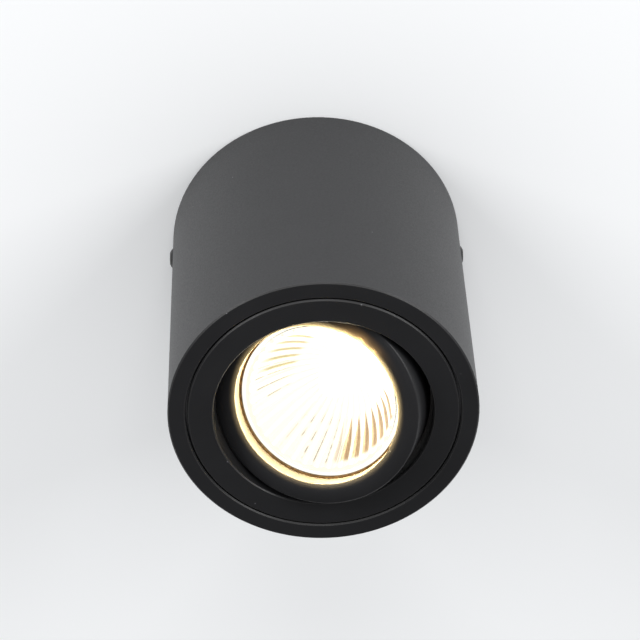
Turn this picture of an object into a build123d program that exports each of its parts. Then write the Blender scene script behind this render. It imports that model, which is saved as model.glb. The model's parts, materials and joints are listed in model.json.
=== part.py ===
"""Surface mounted ceiling spotlight: a round housing with a tilting lamp ring.

Millimetres. The origin is the middle of the ceiling plane, +Z is up into the ceiling, and the
housing hangs down to z = -HOUSING_HEIGHT. The two side screws lie on the X axis. The tilting
parts are drawn straight in the lamp's own frame, whose origin is the pivot, whose X axis is the
pivot axis and whose Z axis points from the lamp's glass to its pins. They are then placed at the
tilt that the light is stored at.
"""

import os
from math import cos, pi, radians, sin

from build123d import *

# ---- driving dimensions ------------------------------------------------------------------
HOUSING_RADIUS = 46.5
HOUSING_HEIGHT = 98.5
WALL = 2.8  # tube wall
LAMP_RADIUS = 25.0  # rim of a 50 mm reflector lamp
LAMP_LENGTH = 54.5  # front glass to the ends of the pins
PIVOT_ABOVE_FACE = 9.5  # tilt axis above the housing's lower face
FACE_BELOW_PIVOT = 7.9  # tilting ring's front face, measured along the lamp's axis
TILT = 21.5  # lean of the lamp from straight down
LEAN_AZIMUTH = 216.0  # compass direction, from +X, that the lamp leans towards

# ---- housing and trim ring ---------------------------------------------------------------
FACE_Z = -HOUSING_HEIGHT
TUBE_INNER = HOUSING_RADIUS - WALL
POCKET_RADIUS = 41.1  # recess that the trim ring's flange lies in
POCKET_DEPTH = 2.3
LIP_RADIUS = 38.95  # bore of the carrier ring, which centres the trim ring
LIP_HEIGHT = 14.0  # back of the carrier ring above the housing's face
CARRIER_GAP = 0.05  # between the carrier ring and the tube
FLANGE_RADIUS = 40.65
FLANGE_THICKNESS = 2.2
OPENING_RADIUS = 32.9
COLLAR_WALL = 2.0
COLLAR_HEIGHT = 16.0
COLLAR_RADIUS = OPENING_RADIUS + COLLAR_WALL
SPIGOT_RADIUS = LIP_RADIUS - 0.05  # running fit in the lip
SPIGOT_WALL = 1.6
SPIGOT_HEIGHT = 6.0
RIM_CHAMFER = 0.4

# ---- tilting ring ------------------------------------------------------------------------
RING_RADIUS = 31.6
RING_BACK = 7.5  # behind the pivot
RING_BORE = LAMP_RADIUS + 0.25
RING_FACE = 2.2  # thickness of the front face
SKIRT_WALL = 1.8
COLLET_WALL = 1.7  # wall round the lamp's rim
SEAT_RADIUS = 23.6  # shoulder behind the lamp's rim
SEAT_THICKNESS = 2.0
CLIP_WIRE = 1.3
CLIP_RADIUS = 24.8  # to the middle of the wire
CLIP_DEPTH = 5.0  # middle of the wire behind the front face

# ---- pivots ------------------------------------------------------------------------------
PIN_RADIUS = 1.75
PIN_CLEARANCE = 0.05
PIN_HEAD_RADIUS = 3.4
PIN_HEAD = 1.3
BOSS_RADIUS = 4.2
BOSS_DEPTH = 2.2
WASHER_RADIUS = 3.4
WASHER_THICKNESS = 0.9

# ---- lamp --------------------------------------------------------------------------------
RIM_THICKNESS = 3.0
GLASS_RADIUS = 23.4
GLASS_THICKNESS = 2.6
GLASS_PROUD = 1.25  # glass in front of the rim
FLUTES = 48
BURNER_RADIUS = 4.6
PIN_SPACING = 10.0  # two-pin twist-lock base
CONTACT_HEAD = 2.5
CONTACT_NECK = 1.5
CONTACT_LENGTH = 7.0

# ---- lampholder --------------------------------------------------------------------------
HOLDER_LENGTH = 27.0
HOLDER_WIDTH = 19.0
HOLDER_HEIGHT = 16.5
HOLDER_COVER = 1.5
HOLDER_GAP = 0.2

# ---- ceiling bracket and its fittings ----------------------------------------------------
STRAP = 1.8
STRAP_WIDTH = 44.0
STRAP_HALF_LENGTH = 34.0
TAB_WIDTH = 16.0
TAB_OUTER = 42.6
TAB_HEIGHT = 17.0
BEND_RADIUS = 1.5
SLOT_SPACING = 60.0
SLOT_LENGTH = 12.0
SLOT_WIDTH = 4.5
SIDE_SCREW_Z = -9.7
BUSH_X, BUSH_Y = 15.5, 12.5
BUSH_BORE = 4.0
EARTH_X, EARTH_Y = -21.5, -17.0
POLE_PITCH = 8.0
BLOCK_LENGTH = 17.0
BLOCK_FOOT = 3.0
BARREL_RADIUS = 3.5
SLEEVE_RADIUS = 2.7
SLEEVE_BORE = 1.6
SLEEVE_Z = -9.2
FIXING_Y = 15.6
LEAD_RADIUS = 1.1

PIVOT_Z = FACE_Z + PIVOT_ABOVE_FACE
PIVOT_AZIMUTH = radians(LEAN_AZIMUTH - 90)
PIVOT_AXIS = Vector(cos(PIVOT_AZIMUTH), sin(PIVOT_AZIMUTH), 0)
LAMP_BACK = Vector(0, 0, 1).rotate(Axis((0, 0, 0), PIVOT_AXIS), TILT)
LAMP_FRAME = Plane(origin=(0, 0, PIVOT_Z), x_dir=PIVOT_AXIS, z_dir=LAMP_BACK).location

# lamp stations along its own axis, from the pivot
RING_FRONT = -FACE_BELOW_PIVOT
CLIP_STATION = RING_FRONT + CLIP_DEPTH
RIM_FRONT = CLIP_STATION + CLIP_WIRE / 2
RIM_BACK = RIM_FRONT + RIM_THICKNESS
GLASS_FRONT = RIM_FRONT - GLASS_PROUD
PIN_END = GLASS_FRONT + LAMP_LENGTH
BASE_BACK = PIN_END - CONTACT_LENGTH
BASE_FRONT = BASE_BACK - 15.0
HOLDER_FRONT = BASE_BACK + HOLDER_GAP
HOLDER_BACK = HOLDER_FRONT + HOLDER_HEIGHT


def turned(*outline):
    """Solid of revolution about Z from (radius, height) corners."""
    face = make_face(Polyline(*[(r, 0, z) for r, z in outline], close=True))
    return revolve(face, Axis.Z)


def disc(radius, low, high):
    """Round bar about Z between two heights."""
    return Pos(0, 0, (low + high) / 2) * Cylinder(radius, high - low)


def bar_x(radius, start, end, y=0.0, z=0.0):
    """Round bar along X."""
    return Pos((start + end) / 2, y, z) * Rot(0, 90, 0) * Cylinder(radius, abs(end - start))


def block(x0, x1, y0, y1, z0, z1):
    """Box between two corners."""
    return Pos((x0 + x1) / 2, (y0 + y1) / 2, (z0 + z1) / 2) * Box(x1 - x0, y1 - y0, z1 - z0)


def group(pieces):
    """Separate solids in one node."""
    return Compound(children=[solid for piece in pieces for solid in piece.solids()])


# ---- housing -----------------------------------------------------------------------------
SCREW_RECESS_RADIUS = 4.25
SCREW_HOLE_RADIUS = 2.25
SCREW_SEAT = HOUSING_RADIUS - 1.3
SCREW_RADIUS = 2.0
SCREW_HEAD_RADIUS = 3.8
SCREW_HEAD = 2.2
SCREW_LENGTH = 8.0
TOP_CHAMFER = 0.3
CARRIER_CHAMFER = 0.8


def housing():
    """Aluminium tube with a narrow flange turned in at the front, open at the ceiling."""
    shell = turned(
        (HOUSING_RADIUS - TOP_CHAMFER, 0),
        (HOUSING_RADIUS, -TOP_CHAMFER),
        (HOUSING_RADIUS, FACE_Z + RIM_CHAMFER),
        (HOUSING_RADIUS - RIM_CHAMFER, FACE_Z),
        (POCKET_RADIUS + RIM_CHAMFER, FACE_Z),
        (POCKET_RADIUS, FACE_Z + RIM_CHAMFER),
        (POCKET_RADIUS, FACE_Z + POCKET_DEPTH),
        (TUBE_INNER, FACE_Z + POCKET_DEPTH),
        (TUBE_INNER, 0),
    )
    for side in (-1, 1):
        outside = side * (HOUSING_RADIUS + 1)
        shell -= bar_x(SCREW_HOLE_RADIUS, side * (TUBE_INNER - 3), outside, z=SIDE_SCREW_Z)
        shell -= bar_x(SCREW_RECESS_RADIUS, side * SCREW_SEAT, outside, z=SIDE_SCREW_Z)
    return shell


def carrier_ring():
    """Turned ring pressed in against the tube's flange: the trim ring's spigot runs in its bore."""
    outer = TUBE_INNER - CARRIER_GAP
    front, back = FACE_Z + POCKET_DEPTH, FACE_Z + LIP_HEIGHT
    return turned(
        (LIP_RADIUS, front),
        (outer, front),
        (outer, back - CARRIER_CHAMFER),
        (outer - CARRIER_CHAMFER, back),
        (LIP_RADIUS, back),
    )


def side_screw():
    """Dome-head machine screw with a hexagon socket, standing on +X with its head outwards."""
    dome = make_face(
        Line((0, 0, 0), (SCREW_HEAD_RADIUS, 0, 0))
        + Line((SCREW_HEAD_RADIUS, 0, 0), (SCREW_HEAD_RADIUS, 0, 0.5))
        + ThreePointArc((SCREW_HEAD_RADIUS, 0, 0.5), (2.9, 0, 1.62), (1.9, 0, SCREW_HEAD))
        + Line((1.9, 0, SCREW_HEAD), (0, 0, SCREW_HEAD))
        + Line((0, 0, SCREW_HEAD), (0, 0, 0))
    )
    screw = revolve(dome, Axis.Z) + disc(SCREW_RADIUS, -SCREW_LENGTH, 0)
    socket = extrude(RegularPolygon(1.25, 6, major_radius=False), SCREW_HEAD)
    screw -= Pos(0, 0, SCREW_HEAD - 1.4) * socket
    return Pos(SCREW_SEAT, 0, SIDE_SCREW_Z) * Rot(0, 90, 0) * screw


# ---- ceiling bracket ---------------------------------------------------------------------
NUT_SPIGOT = 2.7
NUT_RADIUS = 3.9
NUT_DEPTH = 3.2


def ceiling_bracket():
    """Pressed steel strap with two turned-down tabs, slots, bush hole and thread holes."""
    reach = TAB_OUTER
    inner = reach - STRAP
    bend = BEND_RADIUS + STRAP
    outline = (
        Line((0, 0, 0), (reach - bend, 0, 0))
        + ThreePointArc(
            (reach - bend, 0, 0),
            (reach - bend + bend * sin(pi / 4), 0, -bend + bend * cos(pi / 4)),
            (reach, 0, -bend),
        )
        + Line((reach, 0, -bend), (reach, 0, -TAB_HEIGHT))
        + Line((reach, 0, -TAB_HEIGHT), (inner, 0, -TAB_HEIGHT))
        + Line((inner, 0, -TAB_HEIGHT), (inner, 0, -bend))
        + ThreePointArc(
            (inner, 0, -bend),
            (reach - bend + BEND_RADIUS * sin(pi / 4), 0, -bend + BEND_RADIUS * cos(pi / 4)),
            (reach - bend, 0, -STRAP),
        )
        + Line((reach - bend, 0, -STRAP), (0, 0, -STRAP))
        + Line((0, 0, -STRAP), (0, 0, 0))
    )
    arm = extrude(make_face(outline), TAB_WIDTH / 2, both=True)
    arm -= bar_x(NUT_SPIGOT, inner - 1, reach + 1, z=SIDE_SCREW_Z)
    plate = extrude(RectangleRounded(2 * STRAP_HALF_LENGTH, STRAP_WIDTH, 9.0), -STRAP)
    bracket = plate + arm + Rot(0, 0, 180) * arm
    for side in (-1, 1):
        slot = extrude(SlotOverall(SLOT_LENGTH, SLOT_WIDTH), -STRAP)
        bracket -= Pos(side * SLOT_SPACING / 2, 0, 0) * slot
        bracket -= Pos(0, side * FIXING_Y, 0) * disc(FIXING_RADIUS, -STRAP, 0)
    bracket -= Pos(BUSH_X, BUSH_Y, 0) * disc(BUSH_BARREL, -STRAP, 0)
    bracket -= Pos(EARTH_X, EARTH_Y, 0) * disc(EARTH_RADIUS, -STRAP, 0)
    return bracket


def clinch_nut():
    """Round press nut in the +X tab, with its threaded hole along X."""
    inner = TAB_OUTER - STRAP
    nut = bar_x(NUT_RADIUS, inner - NUT_DEPTH, inner, z=SIDE_SCREW_Z)
    nut += bar_x(NUT_SPIGOT, inner, TAB_OUTER, z=SIDE_SCREW_Z)
    return nut - bar_x(SCREW_RADIUS, inner - NUT_DEPTH - 1, TAB_OUTER + 1, z=SIDE_SCREW_Z)


BUSH_BARREL = 5.2
BUSH_FLANGE = 6.6


def cable_bush():
    """Plastic bush for the supply cable, pressed into the strap from below."""
    return Pos(BUSH_X, BUSH_Y, 0) * turned(
        (BUSH_BORE + 0.6, -0.1),
        (BUSH_BARREL, -0.1),
        (BUSH_BARREL, -STRAP),
        (BUSH_FLANGE, -STRAP),
        (BUSH_FLANGE, -STRAP - 1.2),
        (BUSH_FLANGE - 1.0, -STRAP - 1.8),
        (BUSH_BORE + 0.6, -STRAP - 1.8),
        (BUSH_BORE, -STRAP - 1.2),
        (BUSH_BORE, -0.7),
    )


# ---- terminal block ----------------------------------------------------------------------
CLAMP_SCREW_RADIUS = 1.5
CLAMP_X = 4.2
CHIMNEY_RADIUS = 2.7
CHIMNEY_END = -15.4
POLES = (-POLE_PITCH, 0.0, POLE_PITCH)
CLAMPS = [(x, y) for y in POLES for x in (-CLAMP_X, CLAMP_X)]
FIXING_RADIUS = 1.5


def terminal_block():
    """Three-pole moulded block: foot with two lugs, a barrel per pole, a chimney per screw."""
    half = BLOCK_LENGTH / 2
    foot_low = -STRAP - BLOCK_FOOT
    body = block(-half, half, -12.2, 12.2, foot_low, -STRAP)
    lugs = extrude(SlotOverall(2 * FIXING_Y + 7.4, 7.4, rotation=90), -BLOCK_FOOT)
    body += Pos(0, 0, -STRAP) * lugs
    for y in POLES:
        body += bar_x(BARREL_RADIUS, -half, half, y, SLEEVE_Z)
        body += block(-half, half, y - 2.9, y + 2.9, SLEEVE_Z, foot_low)
    for x, y in CLAMPS:
        body += Pos(x, y, 0) * disc(CHIMNEY_RADIUS, CHIMNEY_END, SLEEVE_Z)
    for y in POLES:
        body -= bar_x(SLEEVE_RADIUS, -half, half, y, SLEEVE_Z)
    for x, y in CLAMPS:
        body -= Pos(x, y, 0) * disc(CLAMP_SCREW_RADIUS + 0.35, CHIMNEY_END, SLEEVE_Z)
    for side in (-1, 1):
        body -= Pos(0, side * FIXING_Y, 0) * disc(FIXING_RADIUS, foot_low, -STRAP)
    return body


def terminal_sleeves():
    """Brass tube in each barrel, with two threaded cross holes."""
    half = BLOCK_LENGTH / 2 - 0.8
    sleeves = []
    for y in POLES:
        tube = bar_x(SLEEVE_RADIUS, -half, half, y, SLEEVE_Z)
        tube -= bar_x(SLEEVE_BORE, -half, half, y, SLEEVE_Z)
        for x in (-CLAMP_X, CLAMP_X):
            tube -= Pos(x, y, 0) * disc(CLAMP_SCREW_RADIUS, SLEEVE_Z - SLEEVE_RADIUS, SLEEVE_Z)
        sleeves.append(tube)
    return group(sleeves)


def terminal_screws():
    """Slotted clamp screws, turned in far enough to hold a wire."""
    low = CHIMNEY_END + 1.2
    high = SLEEVE_Z - SLEEVE_BORE + 0.5
    screw = disc(CLAMP_SCREW_RADIUS, low, high) - block(-2, 2, -0.25, 0.25, low, low + 0.7)
    return group([Pos(x, y, 0) * screw for x, y in CLAMPS])


def terminal_fixing_screws():
    """Two pan-head screws through the block's lugs into the strap."""
    seat = -STRAP - BLOCK_FOOT
    screw = disc(FIXING_RADIUS, seat, -0.2)
    screw += turned((0, seat), (2.8, seat), (2.8, seat - 1.2), (2.1, seat - 1.9), (0, seat - 1.9))
    screw -= block(-3, 3, -0.35, 0.35, seat - 1.9, seat - 1.1)
    return group([Pos(0, side * FIXING_Y, 0) * screw for side in (-1, 1)])


# ---- earth connection --------------------------------------------------------------------
EARTH_RADIUS = 2.0
EARTH_WASHER = 0.6
LUG_THICKNESS = 0.8
LUG_TAIL = 11.5
LUG_BARREL = 1.9
EARTH_BARREL_Z = -STRAP - EARTH_WASHER - LUG_BARREL


def earth_washer():
    """Toothed lock washer between strap and cable lug."""
    washer = Circle(3.9)
    for step in range(12):
        notch = Pos(3.9, 0) * Rectangle(1.5, 0.8)
        washer -= Rot(0, 0, step * 30) * notch
    washer -= Circle(EARTH_RADIUS)
    return Pos(EARTH_X, EARTH_Y, -STRAP) * extrude(washer, -EARTH_WASHER)


def earth_lug():
    """Ring cable lug with a crimped barrel that points along +Y."""
    top = -STRAP - EARTH_WASHER
    ring = extrude(Circle(4.0) + Pos(0, LUG_TAIL / 2 - 1) * Rectangle(3.2, LUG_TAIL - 2),
                   -LUG_THICKNESS)
    ring -= disc(EARTH_RADIUS, -LUG_THICKNESS, 0)
    barrel = Pos(0, LUG_TAIL - 2.5, -LUG_BARREL) * Rot(90, 0, 0) * Cylinder(LUG_BARREL, 5)
    lug = ring + barrel
    lug -= Pos(0, LUG_TAIL - 2.5, -LUG_BARREL) * Rot(90, 0, 0) * Cylinder(LEAD_RADIUS, 6)
    return Pos(EARTH_X, EARTH_Y, top) * lug


def earth_screw():
    """Slotted pan-head screw that clamps the lug to the strap."""
    seat = -STRAP - EARTH_WASHER - LUG_THICKNESS
    screw = disc(EARTH_RADIUS, seat, -0.2)
    screw += turned((0, seat), (3.7, seat), (3.7, seat - 1.4), (2.9, seat - 2.4), (0, seat - 2.4))
    screw -= block(-4, 4, -0.5, 0.5, seat - 2.4, seat - 1.3)
    return Pos(EARTH_X, EARTH_Y, 0) * Rot(0, 0, 25) * screw


def tube_along(points, radii):
    """Round insulated lead along straight runs joined by tangent arcs."""
    path = FilletPolyline(*points, radius=radii)
    section = Plane(origin=path @ 0, z_dir=path % 0) * Circle(LEAD_RADIUS)
    return sweep(section, path)


def corner_radii(points):
    """As large an arc at each corner as its two runs allow."""
    corners = [Vector(*point) for point in points]
    radii = []
    for before, here, after in zip(corners, corners[1:], corners[2:]):
        come, leave = here - before, after - here
        half_turn = radians(come.get_angle(leave)) / 2
        radii.append(0.45 * min(come.length, leave.length) * cos(half_turn) / sin(half_turn))
    return radii


def lead(name, points):
    """Lead through the given points, with its arc radii printed."""
    radii = corner_radii(points)
    print(name, "radii", [round(radius, 1) for radius in radii])
    return tube_along(points, radii)


BLOCK_ENTRY = -5.5  # where the leads end inside the sleeves
EARTH_ROUTE = [  # lug barrel, quarter turn, middle pole
    (EARTH_X, EARTH_Y + LUG_TAIL - 3.0, EARTH_BARREL_Z),
    (EARTH_X, EARTH_Y + LUG_TAIL + 3.8, EARTH_BARREL_Z),
    (EARTH_X + 4.9, 2.3, -7.0),
    (BLOCK_ENTRY - 5.2, 0.0, SLEEVE_Z),
    (BLOCK_ENTRY, 0.0, SLEEVE_Z),
]


# ---- trim ring and its springs -----------------------------------------------------------
SPRING_ANGLES = (LEAN_AZIMUTH, LEAN_AZIMUTH - 180)
SPRING_WIDTH = 9.0
SPRING_STRIP = 0.5
SPRING_TOP = FACE_Z + 23.5
SPRING_FOOT = FACE_Z + LIP_HEIGHT + 0.1
RIVET_RADIUS = 1.2
RIVET_Z = FACE_Z + 10.6


def trim_ring():
    """Die-cast ring: flange flush with the rim, spigot in the lip, collar round the opening."""
    flange_back = FACE_Z + FLANGE_THICKNESS
    ring = turned(
        (OPENING_RADIUS + 0.3, FACE_Z),
        (FLANGE_RADIUS - RIM_CHAMFER, FACE_Z),
        (FLANGE_RADIUS, FACE_Z + RIM_CHAMFER),
        (FLANGE_RADIUS, flange_back),
        (SPIGOT_RADIUS, flange_back),
        (SPIGOT_RADIUS, FACE_Z + SPIGOT_HEIGHT - 0.5),
        (SPIGOT_RADIUS - 0.5, FACE_Z + SPIGOT_HEIGHT),
        (SPIGOT_RADIUS - SPIGOT_WALL, FACE_Z + SPIGOT_HEIGHT),
        (SPIGOT_RADIUS - SPIGOT_WALL, flange_back),
        (COLLAR_RADIUS, flange_back),
        (COLLAR_RADIUS, FACE_Z + COLLAR_HEIGHT - 0.5),
        (COLLAR_RADIUS - 0.5, FACE_Z + COLLAR_HEIGHT),
        (OPENING_RADIUS, FACE_Z + COLLAR_HEIGHT),
        (OPENING_RADIUS, FACE_Z + 0.3),
    )
    turn = Pos(0, 0, PIVOT_Z) * Rot(0, 0, LEAN_AZIMUTH - 90)
    for side in (-1, 1):
        pad = bar_x(PIN_HEAD_RADIUS + 1.0, side * (COLLAR_RADIUS - 1.5), side * (COLLAR_RADIUS + 0.6))
        hole = bar_x(PIN_RADIUS + PIN_CLEARANCE, side * 30, side * (COLLAR_RADIUS + 2))
        ring += turn * pad
        ring -= turn * hole
    for angle in SPRING_ANGLES:
        flat = block(COLLAR_RADIUS - 0.35, COLLAR_RADIUS + 1, -SPRING_WIDTH / 2 - 0.3,
                     SPRING_WIDTH / 2 + 0.3, FACE_Z + SPIGOT_HEIGHT, FACE_Z + COLLAR_HEIGHT)
        ring -= Rot(0, 0, angle) * flat
        ring -= Rot(0, 0, angle) * bar_x(RIVET_RADIUS, 30, 40, z=RIVET_Z)
    return ring


def retaining_spring():
    """Bent strip on the collar's flat at +X: up, over in a hairpin, and down on to the lip."""
    leg = COLLAR_RADIUS - 0.35 + SPRING_STRIP / 2
    middle = FilletPolyline(
        (leg, 0, FACE_Z + SPIGOT_HEIGHT + 0.6),
        (leg, 0, SPRING_TOP),
        (leg + 4.4, 0, SPRING_TOP),
        (leg + 6.2, 0, SPRING_FOOT + 2.6),
        (leg + 4.6, 0, SPRING_FOOT + SPRING_STRIP / 2),
        radius=[2.0, 1.6, 0.8],
    )
    strip = sweep(
        Plane(origin=middle @ 0, z_dir=middle % 0, x_dir=(0, 1, 0))
        * Rectangle(SPRING_WIDTH, SPRING_STRIP),
        middle,
    )
    return strip - bar_x(RIVET_RADIUS, 30, leg + 2, z=RIVET_Z)


def spring_rivet():
    """Rivet through spring and collar, with its head outside the strip."""
    face = COLLAR_RADIUS - 0.35 + SPRING_STRIP
    tail = OPENING_RADIUS + 0.1
    rivet = bar_x(RIVET_RADIUS, tail, face, z=RIVET_Z)
    head = turned((0, 0), (2.2, 0), (1.9, 0.6), (1.0, 1.0), (0, 1.0))
    return rivet + Pos(face, 0, RIVET_Z) * Rot(0, 90, 0) * head


# ---- tilting ring and what it carries (lamp frame) ---------------------------------------
def gimbal_ring():
    """Die-cast ring, U-shaped in section: skirt outside, collet round the lamp inside."""
    skirt = RING_RADIUS - SKIRT_WALL
    collet = RING_BORE + COLLET_WALL
    seat_back = RIM_BACK + SEAT_THICKNESS
    groove = CLIP_RADIUS + CLIP_WIRE / 2 + 0.05
    ring = turned(
        (RING_BORE + 0.6, RING_FRONT),
        (RING_RADIUS - 0.4, RING_FRONT),
        (RING_RADIUS, RING_FRONT + 0.4),
        (RING_RADIUS, RING_BACK - 0.4),
        (RING_RADIUS - 0.4, RING_BACK),
        (skirt, RING_BACK),
        (skirt, RING_FRONT + RING_FACE),
        (collet, RING_FRONT + RING_FACE),
        (collet, seat_back),
        (SEAT_RADIUS, seat_back),
        (SEAT_RADIUS, RIM_BACK),
        (RING_BORE, RIM_BACK),
        (RING_BORE, CLIP_STATION + CLIP_WIRE / 2),
        (groove, CLIP_STATION + CLIP_WIRE / 2),
        (groove, CLIP_STATION - CLIP_WIRE / 2),
        (RING_BORE, CLIP_STATION - CLIP_WIRE / 2),
        (RING_BORE, RING_FRONT + 0.6),
    )
    for side in (-1, 1):
        ring += bar_x(BOSS_RADIUS, side * (RING_RADIUS - 0.9), side * (skirt - BOSS_DEPTH))
        ring -= bar_x(PIN_RADIUS, side * (skirt - BOSS_DEPTH - 1), side * (RING_RADIUS + 1))
    return ring


def pivot_pin():
    """Headed pin at +X: fast in the tilting ring, running in the trim ring's collar."""
    seat = COLLAR_RADIUS + 0.6 + 0.1
    pin = bar_x(PIN_RADIUS, RING_RADIUS - SKIRT_WALL - BOSS_DEPTH, seat)
    head = turned((0, 0), (PIN_HEAD_RADIUS, 0), (PIN_HEAD_RADIUS, 0.8), (2.6, PIN_HEAD), (0, PIN_HEAD))
    return pin + Pos(seat, 0, 0) * Rot(0, 90, 0) * head


def friction_washer():
    """Flat washer on the pin, between tilting ring and collar."""
    start = RING_RADIUS + 0.08
    washer = bar_x(WASHER_RADIUS, start, start + WASHER_THICKNESS)
    return washer - bar_x(PIN_RADIUS, start - 1, start + 2)


CLIP_GAP = 22.0  # degrees of the wire ring left open
CLIP_TURN = 178.0  # where the opening lies, from the pivot axis
CLIP_EAR = 2.2


def lamp_retaining_ring():
    """Open ring of spring wire with its two ends turned forward to be squeezed."""
    half = CLIP_GAP / 2
    path = CenterArc((0, 0), CLIP_RADIUS, half, 360 - CLIP_GAP)
    ring = sweep(Plane(origin=path @ 0, z_dir=path % 0) * Circle(CLIP_WIRE / 2), path)
    for side in (-1, 1):
        root = Vector(CLIP_RADIUS, 0, 0).rotate(Axis.Z, side * half)
        tip = root * (1 - 0.02) - Vector(0, 0, CLIP_EAR)
        ring += Pos(root) * Sphere(CLIP_WIRE / 2)
        ring += extrude(Plane(origin=tip, z_dir=root - tip) * Circle(CLIP_WIRE / 2), CLIP_EAR)
    return Pos(0, 0, CLIP_STATION) * Rot(0, 0, CLIP_TURN) * ring


def scalloped(radius, rise, station):
    """Ring of outward arcs that meet in ridges, one arc for each flute."""
    arcs = []
    for flute in range(FLUTES):
        start, middle, end = [2 * pi * (flute + part) / FLUTES for part in (0, 0.5, 1)]
        crown = radius + rise
        arcs.append(
            ThreePointArc(
                (radius * cos(start), radius * sin(start)),
                (crown * cos(middle), crown * sin(middle)),
                (radius * cos(end), radius * sin(end)),
            )
        )
    return Pos(0, 0, station) * make_face(arcs)


BOWL = [  # ridge radius and station of the reflecting surface, front to neck
    (22.0, 1.1),
    (18.5, 10.0),
    (13.0, 19.2),
    (6.4, 27.0),
]
FLUTE_RISE = 0.03  # flute depth as a share of its radius
NECK_RADIUS = 9.6
NECK_STATION = 27.5
BURNER_HOLE = BURNER_RADIUS + 0.4
MOUTH_RADIUS = 22.6  # ridges at the back of the front glass


def lamp_reflector():
    """Pressed glass reflector: rim, bowl outside, and a fluted bowl inside."""
    recess_back = GLASS_FRONT + GLASS_THICKNESS
    outer = turned(
        (0, RIM_FRONT),
        (LAMP_RADIUS - 0.4, RIM_FRONT),
        (LAMP_RADIUS, RIM_FRONT + 0.4),
        (LAMP_RADIUS, RIM_BACK),
        (SEAT_RADIUS - 0.1, RIM_BACK),
        (SEAT_RADIUS - 0.1, RIM_BACK + SEAT_THICKNESS),
        (22.6, 7.0),
        (19.6, 13.5),
        (15.4, 20.5),
        (NECK_RADIUS, NECK_STATION),
        (NECK_RADIUS, BASE_FRONT),
        (0, BASE_FRONT),
    )
    outer -= disc(GLASS_RADIUS, RIM_FRONT, recess_back)
    mouth = [(MOUTH_RADIUS, recess_back)] + BOWL
    sections = [scalloped(radius, FLUTE_RISE * radius, station) for radius, station in mouth]
    outer -= loft(sections, ruled=True)
    return outer - disc(BURNER_HOLE, BOWL[-2][1], BASE_FRONT)


def lamp_front_glass():
    """Pressed cover glass with a softened front edge."""
    back = GLASS_FRONT + GLASS_THICKNESS
    edge = 0.6
    return turned(
        (0, GLASS_FRONT),
        (GLASS_RADIUS - edge, GLASS_FRONT),
        (GLASS_RADIUS, GLASS_FRONT + edge),
        (GLASS_RADIUS, back),
        (0, back),
    )


def lamp_burner():
    """Quartz capsule with a domed tip and a flat pinch that stands in the ceramic base."""
    tip, shoulder = 8.5, 24.0
    inner = BURNER_RADIUS - 0.8
    capsule = Pos(0, 0, tip + BURNER_RADIUS) * Sphere(BURNER_RADIUS)
    capsule += disc(BURNER_RADIUS, tip + BURNER_RADIUS, shoulder)
    hollow = Pos(0, 0, tip + BURNER_RADIUS) * Sphere(inner)
    hollow += disc(inner, tip + BURNER_RADIUS, shoulder - 1.0)
    capsule -= hollow
    return capsule + block(-BURNER_RADIUS + 0.3, BURNER_RADIUS - 0.3, -1.3, 1.3, shoulder, BASE_FRONT)


COIL_STATION = 15.0
COIL_TURNS = 5
COIL_PITCH = 0.8
COIL_CREST, COIL_ROOT = 1.0, 0.65


def lamp_filament():
    """Tungsten coil across the capsule, its turns as ridges of one bar, on two support wires."""
    half = COIL_TURNS * COIL_PITCH / 2
    ridges = [(0, -half)]
    for turn in range(COIL_TURNS):
        start = -half + turn * COIL_PITCH
        ridges += [(COIL_ROOT, start), (COIL_CREST, start + COIL_PITCH / 2)]
    ridges += [(COIL_ROOT, half), (0, half)]
    filament = Pos(0, 0, COIL_STATION) * Rot(0, 90, 0) * turned(*ridges)
    for side in (-1, 1):
        filament += Pos(side * half, 0, 0) * disc(0.3, COIL_STATION - 0.2, 23.0)
    return filament


def lamp_base():
    """Glazed ceramic base that the reflector's neck is cemented to."""
    foot = Pos(0, 0, BASE_FRONT) * extrude(RectangleRounded(20.0, 15.0, 6.5), 5.0)
    body = Pos(0, 0, BASE_FRONT + 5.0) * extrude(RectangleRounded(17.5, 11.5, 5.2), 10.0)
    base = foot + body
    for side in (-1, 1):
        base -= Pos(side * PIN_SPACING / 2, 0, 0) * disc(CONTACT_NECK, BASE_BACK - 4, BASE_BACK)
    return base


def lamp_pins():
    """Two stepped contact pins: neck and twist-lock head."""
    pins = []
    for side in (-1, 1):
        pin = disc(CONTACT_NECK, BASE_BACK - 4, PIN_END - 2.2)
        pin += disc(CONTACT_HEAD, PIN_END - 2.8, PIN_END)
        pins.append(Pos(side * PIN_SPACING / 2, 0, 0) * pin)
    return group(pins)


# ---- lampholder (lamp frame) -------------------------------------------------------------
CAVITY_RADIUS = 2.9
CAVITY_DEPTH = 10.5
CONTACT_STRIP = 0.6
RIVET_X = 10.2
HOLDER_RIVET_RADIUS = 1.25


def lampholder_body():
    """Ceramic holder with two key-hole slots for the twist-lock pins and a chamber behind."""
    outline = RectangleRounded(HOLDER_LENGTH, HOLDER_WIDTH, 6.0)
    body = Pos(0, 0, HOLDER_FRONT) * extrude(outline, HOLDER_HEIGHT)
    for side in (-1, 1):
        at = Pos(side * PIN_SPACING / 2, 0, 0)
        body -= at * disc(CAVITY_RADIUS, HOLDER_FRONT, HOLDER_FRONT + CAVITY_DEPTH)
        key = Pos(side * PIN_SPACING / 2, side * 1.9, HOLDER_FRONT) * extrude(
            SlotOverall(7.4, 2 * CONTACT_NECK + 0.6, rotation=90), 2.6
        )
        body -= key
        body -= at * disc(LEAD_RADIUS, HOLDER_FRONT + CAVITY_DEPTH, HOLDER_BACK)
        body -= Pos(side * RIVET_X, 0, 0) * disc(HOLDER_RIVET_RADIUS, HOLDER_BACK - 6, HOLDER_BACK)
    return body


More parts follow.
